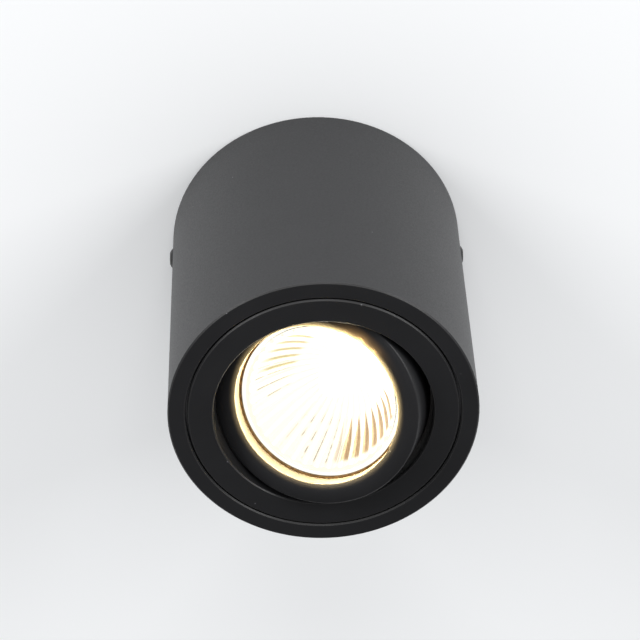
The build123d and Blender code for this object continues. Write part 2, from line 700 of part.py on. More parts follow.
def holder_contacts():
    """Two bronze contact cups that the pins' heads press into."""
    low = PIN_END + 0.3
    cups = []
    for side in (-1, 1):
        cup = disc(CAVITY_RADIUS - 0.15, low, HOLDER_FRONT + CAVITY_DEPTH)
        cup -= disc(LEAD_RADIUS, low + CONTACT_STRIP, HOLDER_FRONT + CAVITY_DEPTH)
        cups.append(Pos(side * PIN_SPACING / 2, 0, 0) * cup)
    return group(cups)


def holder_cover():
    """Mica-backed cover plate with a hole for each lead and rivet."""
    plate = RectangleRounded(HOLDER_LENGTH - 1.0, HOLDER_WIDTH - 1.0, 5.5)
    for side in (-1, 1):
        plate -= Pos(side * PIN_SPACING / 2, 0) * Circle(LEAD_RADIUS)
        plate -= Pos(side * RIVET_X, 0) * Circle(HOLDER_RIVET_RADIUS)
    return Pos(0, 0, HOLDER_BACK) * extrude(plate, HOLDER_COVER)


def holder_rivets():
    """Two tubular rivets that hold the cover."""
    top = HOLDER_BACK + HOLDER_COVER
    rivet = disc(HOLDER_RIVET_RADIUS, HOLDER_BACK - 6, top)
    rivet += turned((0, top), (2.2, top), (1.9, top + 0.7), (0, top + 0.9))
    return group([Pos(side * RIVET_X, 0, 0) * rivet for side in (-1, 1)])


# ---- lamp leads --------------------------------------------------------------------------
def polar(radius, azimuth, z):
    """Point in the housing from its distance to the axis, compass direction and height."""
    return (radius * cos(radians(azimuth)), radius * sin(radians(azimuth)), z)


def in_lamp(x, y, station):
    """Point given in the lamp's frame, as a point of the housing."""
    spot = (LAMP_FRAME * Pos(x, y, station)).position
    return (spot.X, spot.Y, spot.Z)


HOLDER_TOP = HOLDER_BACK + HOLDER_COVER
LEAD_RISE = 7.5  # straight run out of the holder before the first bend


def lead_route(side, wall_stops, block_y):
    """Out of the holder, over to the wall, down and round in a slack loop, up to the block."""
    return (
        [
            in_lamp(side * PIN_SPACING / 2, 0, HOLDER_FRONT + CAVITY_DEPTH - 1.5),
            in_lamp(side * PIN_SPACING / 2, 0, HOLDER_TOP + LEAD_RISE),
        ]
        + [polar(*stop) for stop in wall_stops]
        + [
            (-21.0, block_y * 1.5, SLEEVE_Z - 2.4),
            (-15.5, block_y, SLEEVE_Z),
            (BLOCK_ENTRY, block_y, SLEEVE_Z),
        ]
    )


LINE_ROUTE = lead_route(
    1,
    [(33.0, 55, -19.5), (40.0, 62, -26.0), (41.0, 78, -40.0), (41.2, 100, -46.5),
     (40.6, 120, -36.0), (37.0, 138, -24.0), (30.0, 153, -16.0)],
    POLE_PITCH,
)
NEUTRAL_ROUTE = lead_route(
    -1,
    [(34.0, 13, -21.5), (40.0, 3, -30.0), (41.2, -16, -43.0), (41.2, -42, -50.0),
     (41.2, -68, -46.0), (41.0, -92, -36.0), (38.5, -114, -27.0), (33.0, -136, -20.0)],
    -POLE_PITCH,
)


# ---- every node --------------------------------------------------------------------------
def in_both_sides(piece):
    """The piece as drawn at +X, and again turned to -X."""
    return piece, Rot(0, 0, 180) * piece


right_screw, left_screw = in_both_sides(side_screw())
right_nut, left_nut = in_both_sides(clinch_nut())
pin_a, pin_b = in_both_sides(pivot_pin())
washer_a, washer_b = in_both_sides(friction_washer())
spring = retaining_spring()
rivet = spring_rivet()

fixed_pieces = {
    "housing": housing(),
    "carrier_ring": carrier_ring(),
    "ceiling_bracket": ceiling_bracket(),
    "clinch_nut_right": right_nut,
    "clinch_nut_left": left_nut,
    "side_screw_right": right_screw,
    "side_screw_left": left_screw,
    "cable_bush": cable_bush(),
    "terminal_block": terminal_block(),
    "terminal_sleeves": terminal_sleeves(),
    "terminal_screws": terminal_screws(),
    "terminal_fixing_screws": terminal_fixing_screws(),
    "earth_washer": earth_washer(),
    "earth_lug": earth_lug(),
    "earth_screw": earth_screw(),
    "lead_earth": lead("earth", EARTH_ROUTE),
    "lead_line": lead("line", LINE_ROUTE),
    "lead_neutral": lead("neutral", NEUTRAL_ROUTE),
    "trim_ring": trim_ring(),
    "retaining_spring_front": Rot(0, 0, SPRING_ANGLES[0]) * spring,
    "retaining_spring_back": Rot(0, 0, SPRING_ANGLES[1]) * spring,
    "spring_rivets": group([Rot(0, 0, angle) * rivet for angle in SPRING_ANGLES]),
}
lamp_pieces = {
    "gimbal_ring": gimbal_ring(),
    "pivot_pin_a": pin_a,
    "pivot_pin_b": pin_b,
    "friction_washer_a": washer_a,
    "friction_washer_b": washer_b,
    "lamp_retaining_ring": lamp_retaining_ring(),
    "lamp_reflector": lamp_reflector(),
    "lamp_front_glass": lamp_front_glass(),
    "lamp_burner": lamp_burner(),
    "lamp_filament": lamp_filament(),
    "lamp_base": lamp_base(),
    "lamp_pins": lamp_pins(),
    "lampholder_body": lampholder_body(),
    "holder_contacts": holder_contacts(),
    "holder_cover": holder_cover(),
    "holder_rivets": holder_rivets(),
}

os.makedirs("parts", exist_ok=True)
for node, piece in fixed_pieces.items():
    export_step(piece, f"parts/{node}.step")
for node, piece in lamp_pieces.items():
    export_step(LAMP_FRAME * piece, f"parts/{node}.step")
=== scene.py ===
import json
from math import cos, pi, radians, sin

import bmesh
import bpy
from mathutils import Matrix, Vector


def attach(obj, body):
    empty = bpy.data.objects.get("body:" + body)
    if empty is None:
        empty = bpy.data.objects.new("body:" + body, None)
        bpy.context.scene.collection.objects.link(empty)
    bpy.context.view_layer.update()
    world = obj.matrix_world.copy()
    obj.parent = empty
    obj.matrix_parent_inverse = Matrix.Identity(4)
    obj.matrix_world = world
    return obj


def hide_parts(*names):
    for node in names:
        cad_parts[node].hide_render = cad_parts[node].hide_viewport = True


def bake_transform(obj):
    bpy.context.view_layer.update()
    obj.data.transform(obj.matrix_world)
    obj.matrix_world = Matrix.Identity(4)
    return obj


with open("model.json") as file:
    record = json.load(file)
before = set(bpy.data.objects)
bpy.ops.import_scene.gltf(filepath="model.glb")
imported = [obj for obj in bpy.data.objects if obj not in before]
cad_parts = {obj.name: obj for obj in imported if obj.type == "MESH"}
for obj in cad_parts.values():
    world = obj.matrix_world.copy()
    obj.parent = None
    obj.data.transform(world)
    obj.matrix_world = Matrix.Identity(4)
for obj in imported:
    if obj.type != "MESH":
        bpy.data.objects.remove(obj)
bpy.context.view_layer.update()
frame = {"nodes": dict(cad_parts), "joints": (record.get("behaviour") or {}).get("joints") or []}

nodes = frame["nodes"]
MM = 0.001


# ---- ceiling, light and camera -------------------------------------------------------------
# The spotlight hangs from a matt white ceiling. The ceiling shows from below only, and is open
# behind the housing, so that the bracket on top of the light can be looked at as well.
CEILING_RADIUS = 1500 * MM
CEILING_HOLE = 46.3 * MM
CEILING_GAP = 0.15 * MM
CEILING_PAINT = "#f7f8f9"
ROOM_ABOVE, ROOM_BELOW = 0.85, 0.65  # light that the world gives to matt surfaces
SHEEN_ABOVE, SHEEN_BELOW = 0.85, 0.06  # what glossy surfaces see: white ceiling, dim room
BACKDROP = "#f4f5f6"

CAMERA_PLACE = Vector((-19.55, -486.83, -791.77)) * MM
CAMERA_TURN = (146.835, 1.411, -0.163)  # degrees about X, Y and Z
CAMERA_LENS, SENSOR_WIDTH = 160.03, 36.0  # mm
HOUSING_MIDDLE = Vector((0, 0, -50)) * MM  # where the studio lamps look


def linear(code):
    """The shader's linear colour of an sRGB hex code."""
    parts = [int(code[i:i + 2], 16) / 255 for i in (1, 3, 5)]
    return [p / 12.92 if p <= 0.04045 else ((p + 0.055) / 1.055) ** 2.4 for p in parts] + [1.0]


def put(tree, kind, settings={}, inputs={}):
    """Add a node to a shader. A node among its inputs stands for that node's first output in use."""
    made = tree.nodes.new(kind)
    for name, value in settings.items():
        setattr(made, name, value)
    for name, value in inputs.items():
        if isinstance(value, bpy.types.Node):
            value = next(output for output in value.outputs if output.enabled)
        if isinstance(value, bpy.types.NodeSocket):
            tree.links.new(value, made.inputs[name])
        else:
            made.inputs[name].default_value = value
    return made


def blank_tree(owner):
    """The owner's emptied node tree."""
    owner.use_nodes = True
    owner.node_tree.nodes.clear()
    return owner.node_tree


def as_object(mesh, name):
    """A new object for a finished bmesh, which is freed."""
    data = bpy.data.meshes.new(name)
    mesh.to_mesh(data)
    mesh.free()
    made = bpy.data.objects.new(name, data)
    bpy.context.scene.collection.objects.link(made)
    return made


paint = bpy.data.materials.new("ceiling_paint")
tree = blank_tree(paint)
path = put(tree, "ShaderNodeLightPath")
side = put(tree, "ShaderNodeNewGeometry")
seen = put(tree, "ShaderNodeMath", {"operation": "MAXIMUM"},
           {0: path.outputs["Is Camera Ray"], 1: path.outputs["Is Glossy Ray"]})
seen = put(tree, "ShaderNodeMath", {"operation": "MAXIMUM"},
           {0: seen, 1: path.outputs["Is Transmission Ray"]})
shown = put(tree, "ShaderNodeMath", {"operation": "SUBTRACT", "use_clamp": True},
            {0: seen, 1: side.outputs["Backfacing"]})
roller = put(tree, "ShaderNodeTexNoise", {}, {"Scale": 1 / (9 * MM), "Detail": 3.0})
bump = put(tree, "ShaderNodeBump", {}, {"Strength": 0.05, "Distance": 0.3 * MM, "Height": roller})
matt = put(tree, "ShaderNodeBsdfDiffuse", {}, {"Color": linear(CEILING_PAINT), "Normal": bump})
clear = put(tree, "ShaderNodeBsdfTransparent")
mixed = put(tree, "ShaderNodeMixShader", {}, {0: shown, 1: clear, 2: matt})
put(tree, "ShaderNodeOutputMaterial", {}, {"Surface": mixed})

mesh = bmesh.new()
bmesh.ops.create_circle(mesh, cap_ends=False, radius=CEILING_HOLE, segments=96)
widened = bmesh.ops.extrude_edge_only(mesh, edges=mesh.edges[:])
outer_edge = [part for part in widened["geom"] if isinstance(part, bmesh.types.BMVert)]
widening = CEILING_RADIUS / CEILING_HOLE
bmesh.ops.scale(mesh, vec=(widening, widening, 1), verts=outer_edge)
bmesh.ops.translate(mesh, verts=mesh.verts, vec=(0, 0, CEILING_GAP))
mesh.normal_update()
bmesh.ops.reverse_faces(mesh, faces=[face for face in mesh.faces if face.normal.z > 0])
ceiling = as_object(mesh, "ceiling")
ceiling.data.materials.append(paint)

world = bpy.data.worlds.new("room")
bpy.context.scene.world = world
tree = blank_tree(world)
world.cycles.sampling_method = "NONE"
path = put(tree, "ShaderNodeLightPath")
sky = put(tree, "ShaderNodeTexCoord")
height = put(tree, "ShaderNodeSeparateXYZ", {}, {0: sky.outputs["Generated"]})
room_light = put(tree, "ShaderNodeMapRange", {"interpolation_type": "SMOOTHSTEP"},
                 {0: height.outputs["Z"], 1: -0.15, 2: 0.15, 3: ROOM_BELOW, 4: ROOM_ABOVE})
sheen = put(tree, "ShaderNodeMapRange", {"interpolation_type": "SMOOTHSTEP"},
            {0: height.outputs["Z"], 1: -0.25, 2: 0.10, 3: SHEEN_BELOW, 4: SHEEN_ABOVE})
gloss = put(tree, "ShaderNodeMath", {"operation": "MAXIMUM"},
            {0: path.outputs["Is Glossy Ray"], 1: path.outputs["Is Transmission Ray"]})
level = put(tree, "ShaderNodeMix", {}, {0: gloss, 2: room_light, 3: sheen})
level = put(tree, "ShaderNodeMix", {}, {0: path.outputs["Is Camera Ray"], 2: level, 3: 1.0})
backdrop = put(tree, "ShaderNodeBackground", {}, {"Color": linear(BACKDROP), "Strength": level})
put(tree, "ShaderNodeOutputWorld", {}, {"Surface": backdrop})


def softbox(name, place, size, power):
    """A square white lamp that looks at the housing, in metres and watts."""
    lamp = bpy.data.lights.new(name, "AREA")
    lamp.shape = "SQUARE"
    lamp.size = size
    lamp.energy = power
    made = bpy.data.objects.new(name, lamp)
    made.location = place
    made.rotation_euler = (HOUSING_MIDDLE - Vector(place)).to_track_quat("-Z", "Y").to_euler()
    bpy.context.scene.collection.objects.link(made)


softbox("softbox_right", (1.20, -0.92, -0.80), 0.75, 11.6)
softbox("softbox_left", (-1.25, -0.96, -0.80), 0.75, 10.6)
softbox("softbox_front", (-0.05, -1.50, -0.90), 0.90, 8.0)

lens = bpy.data.cameras.new("camera")
lens.lens = CAMERA_LENS
lens.sensor_width = SENSOR_WIDTH
camera = bpy.data.objects.new("camera", lens)
camera.location = CAMERA_PLACE
camera.rotation_euler = [radians(turn) for turn in CAMERA_TURN]
bpy.context.scene.collection.objects.link(camera)
bpy.context.scene.camera = camera

bpy.context.scene.view_settings.view_transform = "Standard"


# ---- ceiling bracket -----------------------------------------------------------------------
# Cold-rolled steel strip, punched and bent, then zinc plated and passivated. The rolling grain
# shows through the thin zinc, which clouds from bluish to a faint straw colour.
ZINC_GRAIN_LENGTH, ZINC_GRAIN = 9 * MM, 0.3 * MM


def new_finish(name):
    """A new material, and its emptied node tree."""
    made = bpy.data.materials.new(name)
    return made, blank_tree(made)


def surface(tree, inputs, height=None, strength=0.0, depth=0.0):
    """End a shader with one surface. A height gives it relief, to a depth in millimetres."""
    if height:
        inputs["Normal"] = put(tree, "ShaderNodeBump", {}, {
            "Height": height, "Strength": strength, "Distance": depth * MM})
    skin = put(tree, "ShaderNodeBsdfPrincipled", {}, inputs)
    put(tree, "ShaderNodeOutputMaterial", {}, {"Surface": skin})


def dress(finish, *names):
    """Give CAD nodes their finish."""
    for name in names:
        nodes[name].data.materials.clear()
        nodes[name].data.materials.append(finish)


zinc_plated_strip, tree = new_finish("zinc_plated_strip")
place = put(tree, "ShaderNodeTexCoord").outputs["Object"]
along = put(tree, "ShaderNodeMapping", {}, {
    "Vector": place, "Scale": (1 / ZINC_GRAIN_LENGTH, 1 / ZINC_GRAIN, 1 / ZINC_GRAIN)})
grain = put(tree, "ShaderNodeTexNoise", {}, {"Vector": along, "Scale": 1.0, "Detail": 3.0})
cloud = put(tree, "ShaderNodeTexNoise", {}, {"Vector": place, "Scale": 1 / (8 * MM), "Detail": 3.0})
tint = put(tree, "ShaderNodeMapRange", {}, {0: cloud, 1: 0.38, 2: 0.66})
colour = put(tree, "ShaderNodeMix", {"data_type": "RGBA"},
             {0: tint, 6: linear("#b6b9bd"), 7: linear("#c1c0b8")})
rough = put(tree, "ShaderNodeMapRange", {}, {0: grain, 1: 0.3, 2: 0.7, 3: 0.28, 4: 0.48})
surface(tree, {"Base Color": colour, "Metallic": 1.0, "Roughness": rough}, grain, 0.18, 0.02)
dress(zinc_plated_strip, "ceiling_bracket")


# ---- clinch nuts ---------------------------------------------------------------------------
# Turned steel press nuts in the bracket's tabs. Like the light's other small fasteners, they are
# barrel plated, which leaves a soft grey shine with the fine dents of the tumbling.
barrel_plated_steel, tree = new_finish("barrel_plated_steel")
place = put(tree, "ShaderNodeTexCoord").outputs["Object"]
dents = put(tree, "ShaderNodeTexVoronoi", {"feature": "SMOOTH_F1"}, {
    "Vector": place, "Scale": 1 / (0.45 * MM), "Smoothness": 1.0})
cloud = put(tree, "ShaderNodeTexNoise", {}, {"Vector": place, "Scale": 1 / (1.6 * MM), "Detail": 3.0})
colour = put(tree, "ShaderNodeMix", {"data_type": "RGBA"},
             {0: cloud, 6: linear("#a3a4a8"), 7: linear("#c2c1bd")})
rough = put(tree, "ShaderNodeMapRange", {}, {0: cloud, 1: 0.3, 2: 0.7, 3: 0.42, 4: 0.24})
surface(tree, {"Base Color": colour, "Metallic": 1.0, "Roughness": rough},
        dents.outputs["Distance"], 0.2, 0.02)
dress(barrel_plated_steel, "clinch_nut_right", "clinch_nut_left")


# ---- cable bush ----------------------------------------------------------------------------
# Moulded black polyamide, pressed into the strap so that its edge can't cut the supply cable.
# The mould was spark eroded, so the surface is finely pitted and half matt.
black_polyamide, tree = new_finish("black_polyamide")
place = put(tree, "ShaderNodeTexCoord").outputs["Object"]
pits = put(tree, "ShaderNodeTexNoise", {}, {"Vector": place, "Scale": 1 / (0.22 * MM), "Detail": 2.0})
cloud = put(tree, "ShaderNodeTexNoise", {}, {"Vector": place, "Scale": 1 / (4 * MM), "Detail": 2.0})
colour = put(tree, "ShaderNodeMix", {"data_type": "RGBA"},
             {0: cloud, 6: linear("#1b1b1c"), 7: linear("#29292a")})
rough = put(tree, "ShaderNodeMapRange", {}, {0: pits, 1: 0.3, 2: 0.7, 3: 0.48, 4: 0.64})
surface(tree, {"Base Color": colour, "Roughness": rough, "IOR": 1.53}, pits, 0.25, 0.02)
dress(black_polyamide, "cable_bush")


# ---- terminal block ------------------------------------------------------------------------
# Natural polyamide, moulded in one shot with a barrel for each pole. It is milky rather than
# white, lets a little light in, and has flow clouds round the gates.
natural_polyamide, tree = new_finish("natural_polyamide")
place = put(tree, "ShaderNodeTexCoord").outputs["Object"]
flow = put(tree, "ShaderNodeTexNoise", {}, {"Vector": place,
                                            "Scale": 1 / (5 * MM), "Detail": 2.0, "Distortion": 1.2})
pits = put(tree, "ShaderNodeTexNoise", {}, {"Vector": place, "Scale": 1 / (0.25 * MM), "Detail": 2.0})
colour = put(tree, "ShaderNodeMix", {"data_type": "RGBA"},
             {0: flow, 6: linear("#dedbcf"), 7: linear("#ecebe4")})
rough = put(tree, "ShaderNodeMapRange", {}, {0: pits, 1: 0.3, 2: 0.7, 3: 0.36, 4: 0.50})
surface(tree, {"Base Color": colour, "Roughness": rough, "IOR": 1.53,
               "Subsurface Weight": 0.3, "Subsurface Radius": (1.0, 0.95, 0.8),
               "Subsurface Scale": 1.2 * MM}, pits, 0.15, 0.02)
dress(natural_polyamide, "terminal_block")


# ---- terminal sleeves and their screws -----------------------------------------------------
# Drawn brass tube, drilled and tapped, with plated steel clamp screws. The brass is bright from
# the saw and slowly tarnishes in brown clouds.
drawn_brass, tree = new_finish("drawn_brass")
place = put(tree, "ShaderNodeTexCoord").outputs["Object"]
along = put(tree, "ShaderNodeMapping", {}, {
    "Vector": place, "Scale": (1 / (5 * MM), 1 / (0.2 * MM), 1 / (0.2 * MM))})
draw_lines = put(tree, "ShaderNodeTexNoise", {}, {"Vector": along, "Scale": 1.0})
tarnish = put(tree, "ShaderNodeTexNoise", {}, {"Vector": place, "Scale": 1 / (2.5 * MM), "Detail": 4.0})
tarnish = put(tree, "ShaderNodeMapRange", {}, {0: tarnish, 1: 0.45, 2: 0.70})
colour = put(tree, "ShaderNodeMix", {"data_type": "RGBA"},
             {0: tarnish, 6: linear("#d8b66a"), 7: linear("#a27c3e")})
rough = put(tree, "ShaderNodeMapRange", {}, {0: draw_lines, 1: 0.3, 2: 0.7, 3: 0.24, 4: 0.40})
surface(tree, {"Base Color": colour, "Metallic": 1.0, "Roughness": rough}, draw_lines, 0.15, 0.02)
dress(drawn_brass, "terminal_sleeves")
dress(barrel_plated_steel, "terminal_screws", "terminal_fixing_screws")


# ---- earth connection ----------------------------------------------------------------------
# A plated screw clamps a brass cable lug over a toothed washer. The green and yellow lead runs
# from the lug's crimp, round a quarter turn, into the middle pole of the terminal block.
LEAD_RADIUS = 1.1
MERGED = 0.001 * MM  # corners nearer to each other than this are one
BLOCK_ENTRY, BLOCK_ENTRY_Z = -5.5, -9.2
EARTH_STOPS = [(-21.5, -8.5, -4.3), (-21.5, -1.7, -4.3), (-16.6, 2.3, -7.0),
               (-10.7, 0.0, BLOCK_ENTRY_Z), (BLOCK_ENTRY, 0.0, BLOCK_ENTRY_Z)]
STRIPE_TURNS, GREEN_SHARE = 0.8, 0.45  # along the whole lead, and of the way round it

dress(barrel_plated_steel, "earth_washer", "earth_screw")
dress(drawn_brass, "earth_lug")


def smooth(piece, angle):
    """Smooth shading, with edges left sharp past an angle in degrees."""
    piece.data.shade_smooth()
    piece.data.set_sharp_from_angle(angle=radians(angle))


def round_wire(name, stops, radius, roundness, steps):
    """A bmesh of a smooth round wire that follows its stops, all in millimetres."""
    line = bpy.data.curves.new(name, "CURVE")
    line.dimensions = "3D"
    line.bevel_depth = radius * MM
    line.bevel_resolution = roundness
    line.resolution_u = steps
    line.use_fill_caps = True
    spline = line.splines.new("NURBS")
    spline.points.add(len(stops) - 1)
    for point, stop in zip(spline.points, stops):
        point.co = (*(Vector(stop) * MM), 1.0)
    spline.order_u = 3
    spline.use_endpoint_u = True
    drawn = bpy.data.objects.new(name + "_line", line)
    bpy.context.scene.collection.objects.link(drawn)
    bpy.context.view_layer.update()
    mesh = bmesh.new()
    mesh.from_mesh(bpy.data.meshes.new_from_object(drawn))
    bpy.data.objects.remove(drawn)
    bmesh.ops.remove_doubles(mesh, verts=mesh.verts, dist=MERGED)
    bmesh.ops.recalc_face_normals(mesh, faces=mesh.faces)
    return mesh


def lead_through(name, stops):
    """A lead that follows its stops, given in millimetres."""
    made = as_object(round_wire(name, stops, LEAD_RADIUS, 5, 12), name)
    smooth(made, 50)
    return made


striped_pvc, tree = new_finish("striped_pvc")
wrap = put(tree, "ShaderNodeUVMap", {"uv_map": "UVMap"})
wrap = put(tree, "ShaderNodeSeparateXYZ", {}, {0: wrap.outputs[0]})
stripe = put(tree, "ShaderNodeMath", {"operation": "MULTIPLY_ADD"},
             {0: wrap.outputs[0], 1: STRIPE_TURNS, 2: wrap.outputs[1]})
stripe = put(tree, "ShaderNodeMath", {"operation": "FRACT"}, {0: stripe})
stripe = put(tree, "ShaderNodeMath", {"operation": "GREATER_THAN"}, {0: stripe, 1: GREEN_SHARE})
place = put(tree, "ShaderNodeTexCoord").outputs["Object"]
skin = put(tree, "ShaderNodeTexNoise", {}, {"Vector": place, "Scale": 1 / (0.8 * MM), "Detail": 2.0})
green = put(tree, "ShaderNodeMix", {"data_type": "RGBA"},
            {0: skin, 6: linear("#2c7a37"), 7: linear("#3b8d45")})
yellow = put(tree, "ShaderNodeMix", {"data_type": "RGBA"},
             {0: skin, 6: linear("#dcc22c"), 7: linear("#e8d24a")})
colour = put(tree, "ShaderNodeMix", {"data_type": "RGBA"}, {0: stripe, 6: green, 7: yellow})
rough = put(tree, "ShaderNodeMapRange", {}, {0: skin, 3: 0.34, 4: 0.50})
surface(tree, {"Base Color": colour, "Roughness": rough, "IOR": 1.53}, skin, 0.1, 0.02)
earth_lead = lead_through("earth_lead", EARTH_STOPS)
earth_lead.data.materials.append(striped_pvc)
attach(earth_lead, "fixed_body")
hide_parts("lead_earth")


# ---- housing -------------------------------------------------------------------------------
# An aluminium tube, sprayed with matt black polyester powder and baked, as the trim ring and
# the tilting ring are. The film melts into a fine orange peel with a soft sheen and a few
# specks of pale dust, and draws thin over an edge, which rubs paler. That paler edge is also a
# painted highlight on every edge.
PEEL = 0.55 * MM
DUST_SPACING = 7.5 * MM
EDGE_ROUNDING = 0.16 * MM

black_powder_coat, tree = new_finish("black_powder_coat")
place = put(tree, "ShaderNodeTexCoord").outputs["Object"]
peel = put(tree, "ShaderNodeTexNoise", {}, {"Vector": place, "Scale": 1 / PEEL, "Detail": 2.0})
cloud = put(tree, "ShaderNodeTexNoise", {}, {"Vector": place, "Scale": 1 / (14 * MM), "Detail": 3.0})
dust = put(tree, "ShaderNodeTexVoronoi", {}, {"Vector": place, "Scale": 1 / DUST_SPACING})
speck = put(tree, "ShaderNodeMapRange", {"interpolation_type": "SMOOTHSTEP"},
            {0: dust.outputs["Distance"], 1: 0.018, 2: 0.034, 3: 1.0, 4: 0.0})
colour = put(tree, "ShaderNodeMix", {"data_type": "RGBA"},
             {0: cloud, 6: linear("#1d1d1f"), 7: linear("#232325")})
soft_edge = put(tree, "ShaderNodeBevel", {"samples": 8}, {"Radius": EDGE_ROUNDING})
flat_face = put(tree, "ShaderNodeNewGeometry")
level = put(tree, "ShaderNodeVectorMath", {"operation": "DOT_PRODUCT"},
            {0: soft_edge, 1: flat_face.outputs["Normal"]})
# Edges come out paler: partly rubbed film, partly a painted highlight along every edge.
rubbed_and_highlight = put(tree, "ShaderNodeMapRange", {}, {0: level.outputs["Value"], 1: 0.995, 2: 0.94})
colour = put(tree, "ShaderNodeMix", {"data_type": "RGBA"}, {0: rubbed_and_highlight, 6: colour, 7: linear("#4e4d4c")})
colour = put(tree, "ShaderNodeMix", {"data_type": "RGBA"}, {0: speck, 6: colour, 7: linear("#77767a")})
rough = put(tree, "ShaderNodeMapRange", {}, {0: peel, 1: 0.3, 2: 0.7, 3: 0.40, 4: 0.50})
bump = put(tree, "ShaderNodeBump", {}, {"Strength": 0.12, "Distance": 0.03 * MM, "Height": peel,
                                        "Normal": soft_edge})
surface(tree, {"Base Color": colour, "Roughness": rough, "IOR": 1.5, "Normal": bump})
dress(black_powder_coat, "housing")


# ---- side screws ---------------------------------------------------------------------------
# Two dome-head machine screws with a hexagon socket, chemically blackened and oiled. The
# blackening is thin, so the steel's brown-grey shows faintly through it.
blackened_steel, tree = new_finish("blackened_steel")
place = put(tree, "ShaderNodeTexCoord").outputs["Object"]
thin = put(tree, "ShaderNodeTexNoise", {}, {"Vector": place, "Scale": 1 / (0.9 * MM), "Detail": 3.0})
thin = put(tree, "ShaderNodeMapRange", {}, {0: thin, 1: 0.48, 2: 0.75})
grit = put(tree, "ShaderNodeTexNoise", {}, {"Vector": place, "Scale": 1 / (0.2 * MM)})
colour = put(tree, "ShaderNodeMix", {"data_type": "RGBA"},
             {0: thin, 6: linear("#121213"), 7: linear("#2b2825")})
rough = put(tree, "ShaderNodeMapRange", {}, {0: grit, 1: 0.3, 2: 0.7, 3: 0.32, 4: 0.46})
surface(tree, {"Base Color": colour, "Roughness": rough}, grit, 0.12, 0.01)
dress(blackened_steel, "side_screw_right", "side_screw_left")


# ---- carrier ring --------------------------------------------------------------------------
# An aluminium ring, turned all over and pressed into the tube uncoated. The lathe's feed shows
# as fine rings in its bore and on its back, drawn coarser than real ones so that they show.
FEED = 0.35 * MM

turned_aluminium, tree = new_finish("turned_aluminium")
place = put(tree, "ShaderNodeTexCoord").outputs["Object"]
part = put(tree, "ShaderNodeSeparateXYZ", {}, {0: place})
flat = put(tree, "ShaderNodeCombineXYZ", {}, {0: part.outputs[0], 1: part.outputs[1]})
reach = put(tree, "ShaderNodeVectorMath", {"operation": "LENGTH"}, {0: flat})
feed = put(tree, "ShaderNodeMath", {"operation": "ADD"}, {0: reach, 1: part.outputs[2]})
feed = put(tree, "ShaderNodeMath", {"operation": "MULTIPLY"}, {0: feed, 1: 2 * pi / FEED})
feed = put(tree, "ShaderNodeMath", {"operation": "SINE"}, {0: feed})
cloud = put(tree, "ShaderNodeTexNoise", {}, {"Vector": place, "Scale": 1 / (5 * MM), "Detail": 3.0})
colour = put(tree, "ShaderNodeMix", {"data_type": "RGBA"},
             {0: cloud, 6: linear("#b9bbbe"), 7: linear("#d2d3d4")})
rough = put(tree, "ShaderNodeMapRange", {}, {0: feed, 1: -1.0, 2: 1.0, 3: 0.24, 4: 0.38})
surface(tree, {"Base Color": colour, "Metallic": 1.0, "Roughness": rough}, feed, 0.2, 0.01)
dress(turned_aluminium, "carrier_ring")


# ---- trim ring and its springs -------------------------------------------------------------
# The die-cast trim ring is coated as the housing is. Two strips of stainless spring steel, each
# riveted to its collar by one aluminium rivet, hold it up in the housing and let it turn.
dress(black_powder_coat, "trim_ring")

rolled_spring_steel, tree = new_finish("rolled_spring_steel")
place = put(tree, "ShaderNodeTexCoord").outputs["Object"]
along = put(tree, "ShaderNodeMapping", {}, {
    "Vector": place, "Scale": (1 / (0.18 * MM), 1 / (0.18 * MM), 1 / (6 * MM))})
roll_lines = put(tree, "ShaderNodeTexNoise", {}, {"Vector": along, "Scale": 1.0, "Detail": 2.0})
heat = put(tree, "ShaderNodeTexNoise", {}, {"Vector": place, "Scale": 1 / (11 * MM), "Detail": 1.0})
heat = put(tree, "ShaderNodeMapRange", {}, {0: heat, 1: 0.45, 2: 0.68})
colour = put(tree, "ShaderNodeMix", {"data_type": "RGBA"},
             {0: heat, 6: linear("#b5b6b8"), 7: linear("#b09c7c")})
rough = put(tree, "ShaderNodeMapRange", {}, {0: roll_lines, 1: 0.3, 2: 0.7, 3: 0.18, 4: 0.34})
surface(tree, {"Base Color": colour, "Metallic": 1.0, "Roughness": rough}, roll_lines, 0.12, 0.01)
dress(rolled_spring_steel, "retaining_spring_front", "retaining_spring_back")

headed_aluminium, tree = new_finish("headed_aluminium")
place = put(tree, "ShaderNodeTexCoord").outputs["Object"]
hammer = put(tree, "ShaderNodeTexVoronoi", {"feature": "SMOOTH_F1"}, {
    "Vector": place, "Scale": 1 / (0.7 * MM), "Smoothness": 0.8})
bloom = put(tree, "ShaderNodeTexNoise", {}, {"Vector": place, "Scale": 1 / (1.2 * MM), "Detail": 3.0})
colour = put(tree, "ShaderNodeMix", {"data_type": "RGBA"},
             {0: bloom, 6: linear("#b4b5b8"), 7: linear("#d0d0cf")})
rough = put(tree, "ShaderNodeMapRange", {}, {0: bloom, 1: 0.3, 2: 0.7, 3: 0.28, 4: 0.44})
surface(tree, {"Base Color": colour, "Metallic": 1.0, "Roughness": rough},
        hammer.outputs["Distance"], 0.25, 0.02)
dress(headed_aluminium, "spring_rivets", "holder_rivets")


# ---- tilting ring and its pivots -----------------------------------------------------------
# The die-cast tilting ring is coated too, and its bore is only just broken at the front. It
# hangs on two headed steel pins, each with a black fibre washer against the trim ring's collar,
# whose friction keeps the lamp where it is set.
LAMP_TILT = radians(21.5)
joint = next(j for j in frame["joints"] if j["name"] == "lamp_tilt")
PIVOT, PIVOT_AXIS = Vector(joint["pos_m"]), Vector(joint["axis"])
LAMP_BACK = Matrix.Rotation(LAMP_TILT, 3, PIVOT_AXIS) @ Vector((0, 0, 1))
LAMP_SIDE = LAMP_BACK.cross(PIVOT_AXIS)
LAMP_TURN = Matrix((PIVOT_AXIS, LAMP_SIDE, LAMP_BACK)).transposed().to_4x4()
lamp_frame = Matrix.Translation(PIVOT) @ LAMP_TURN

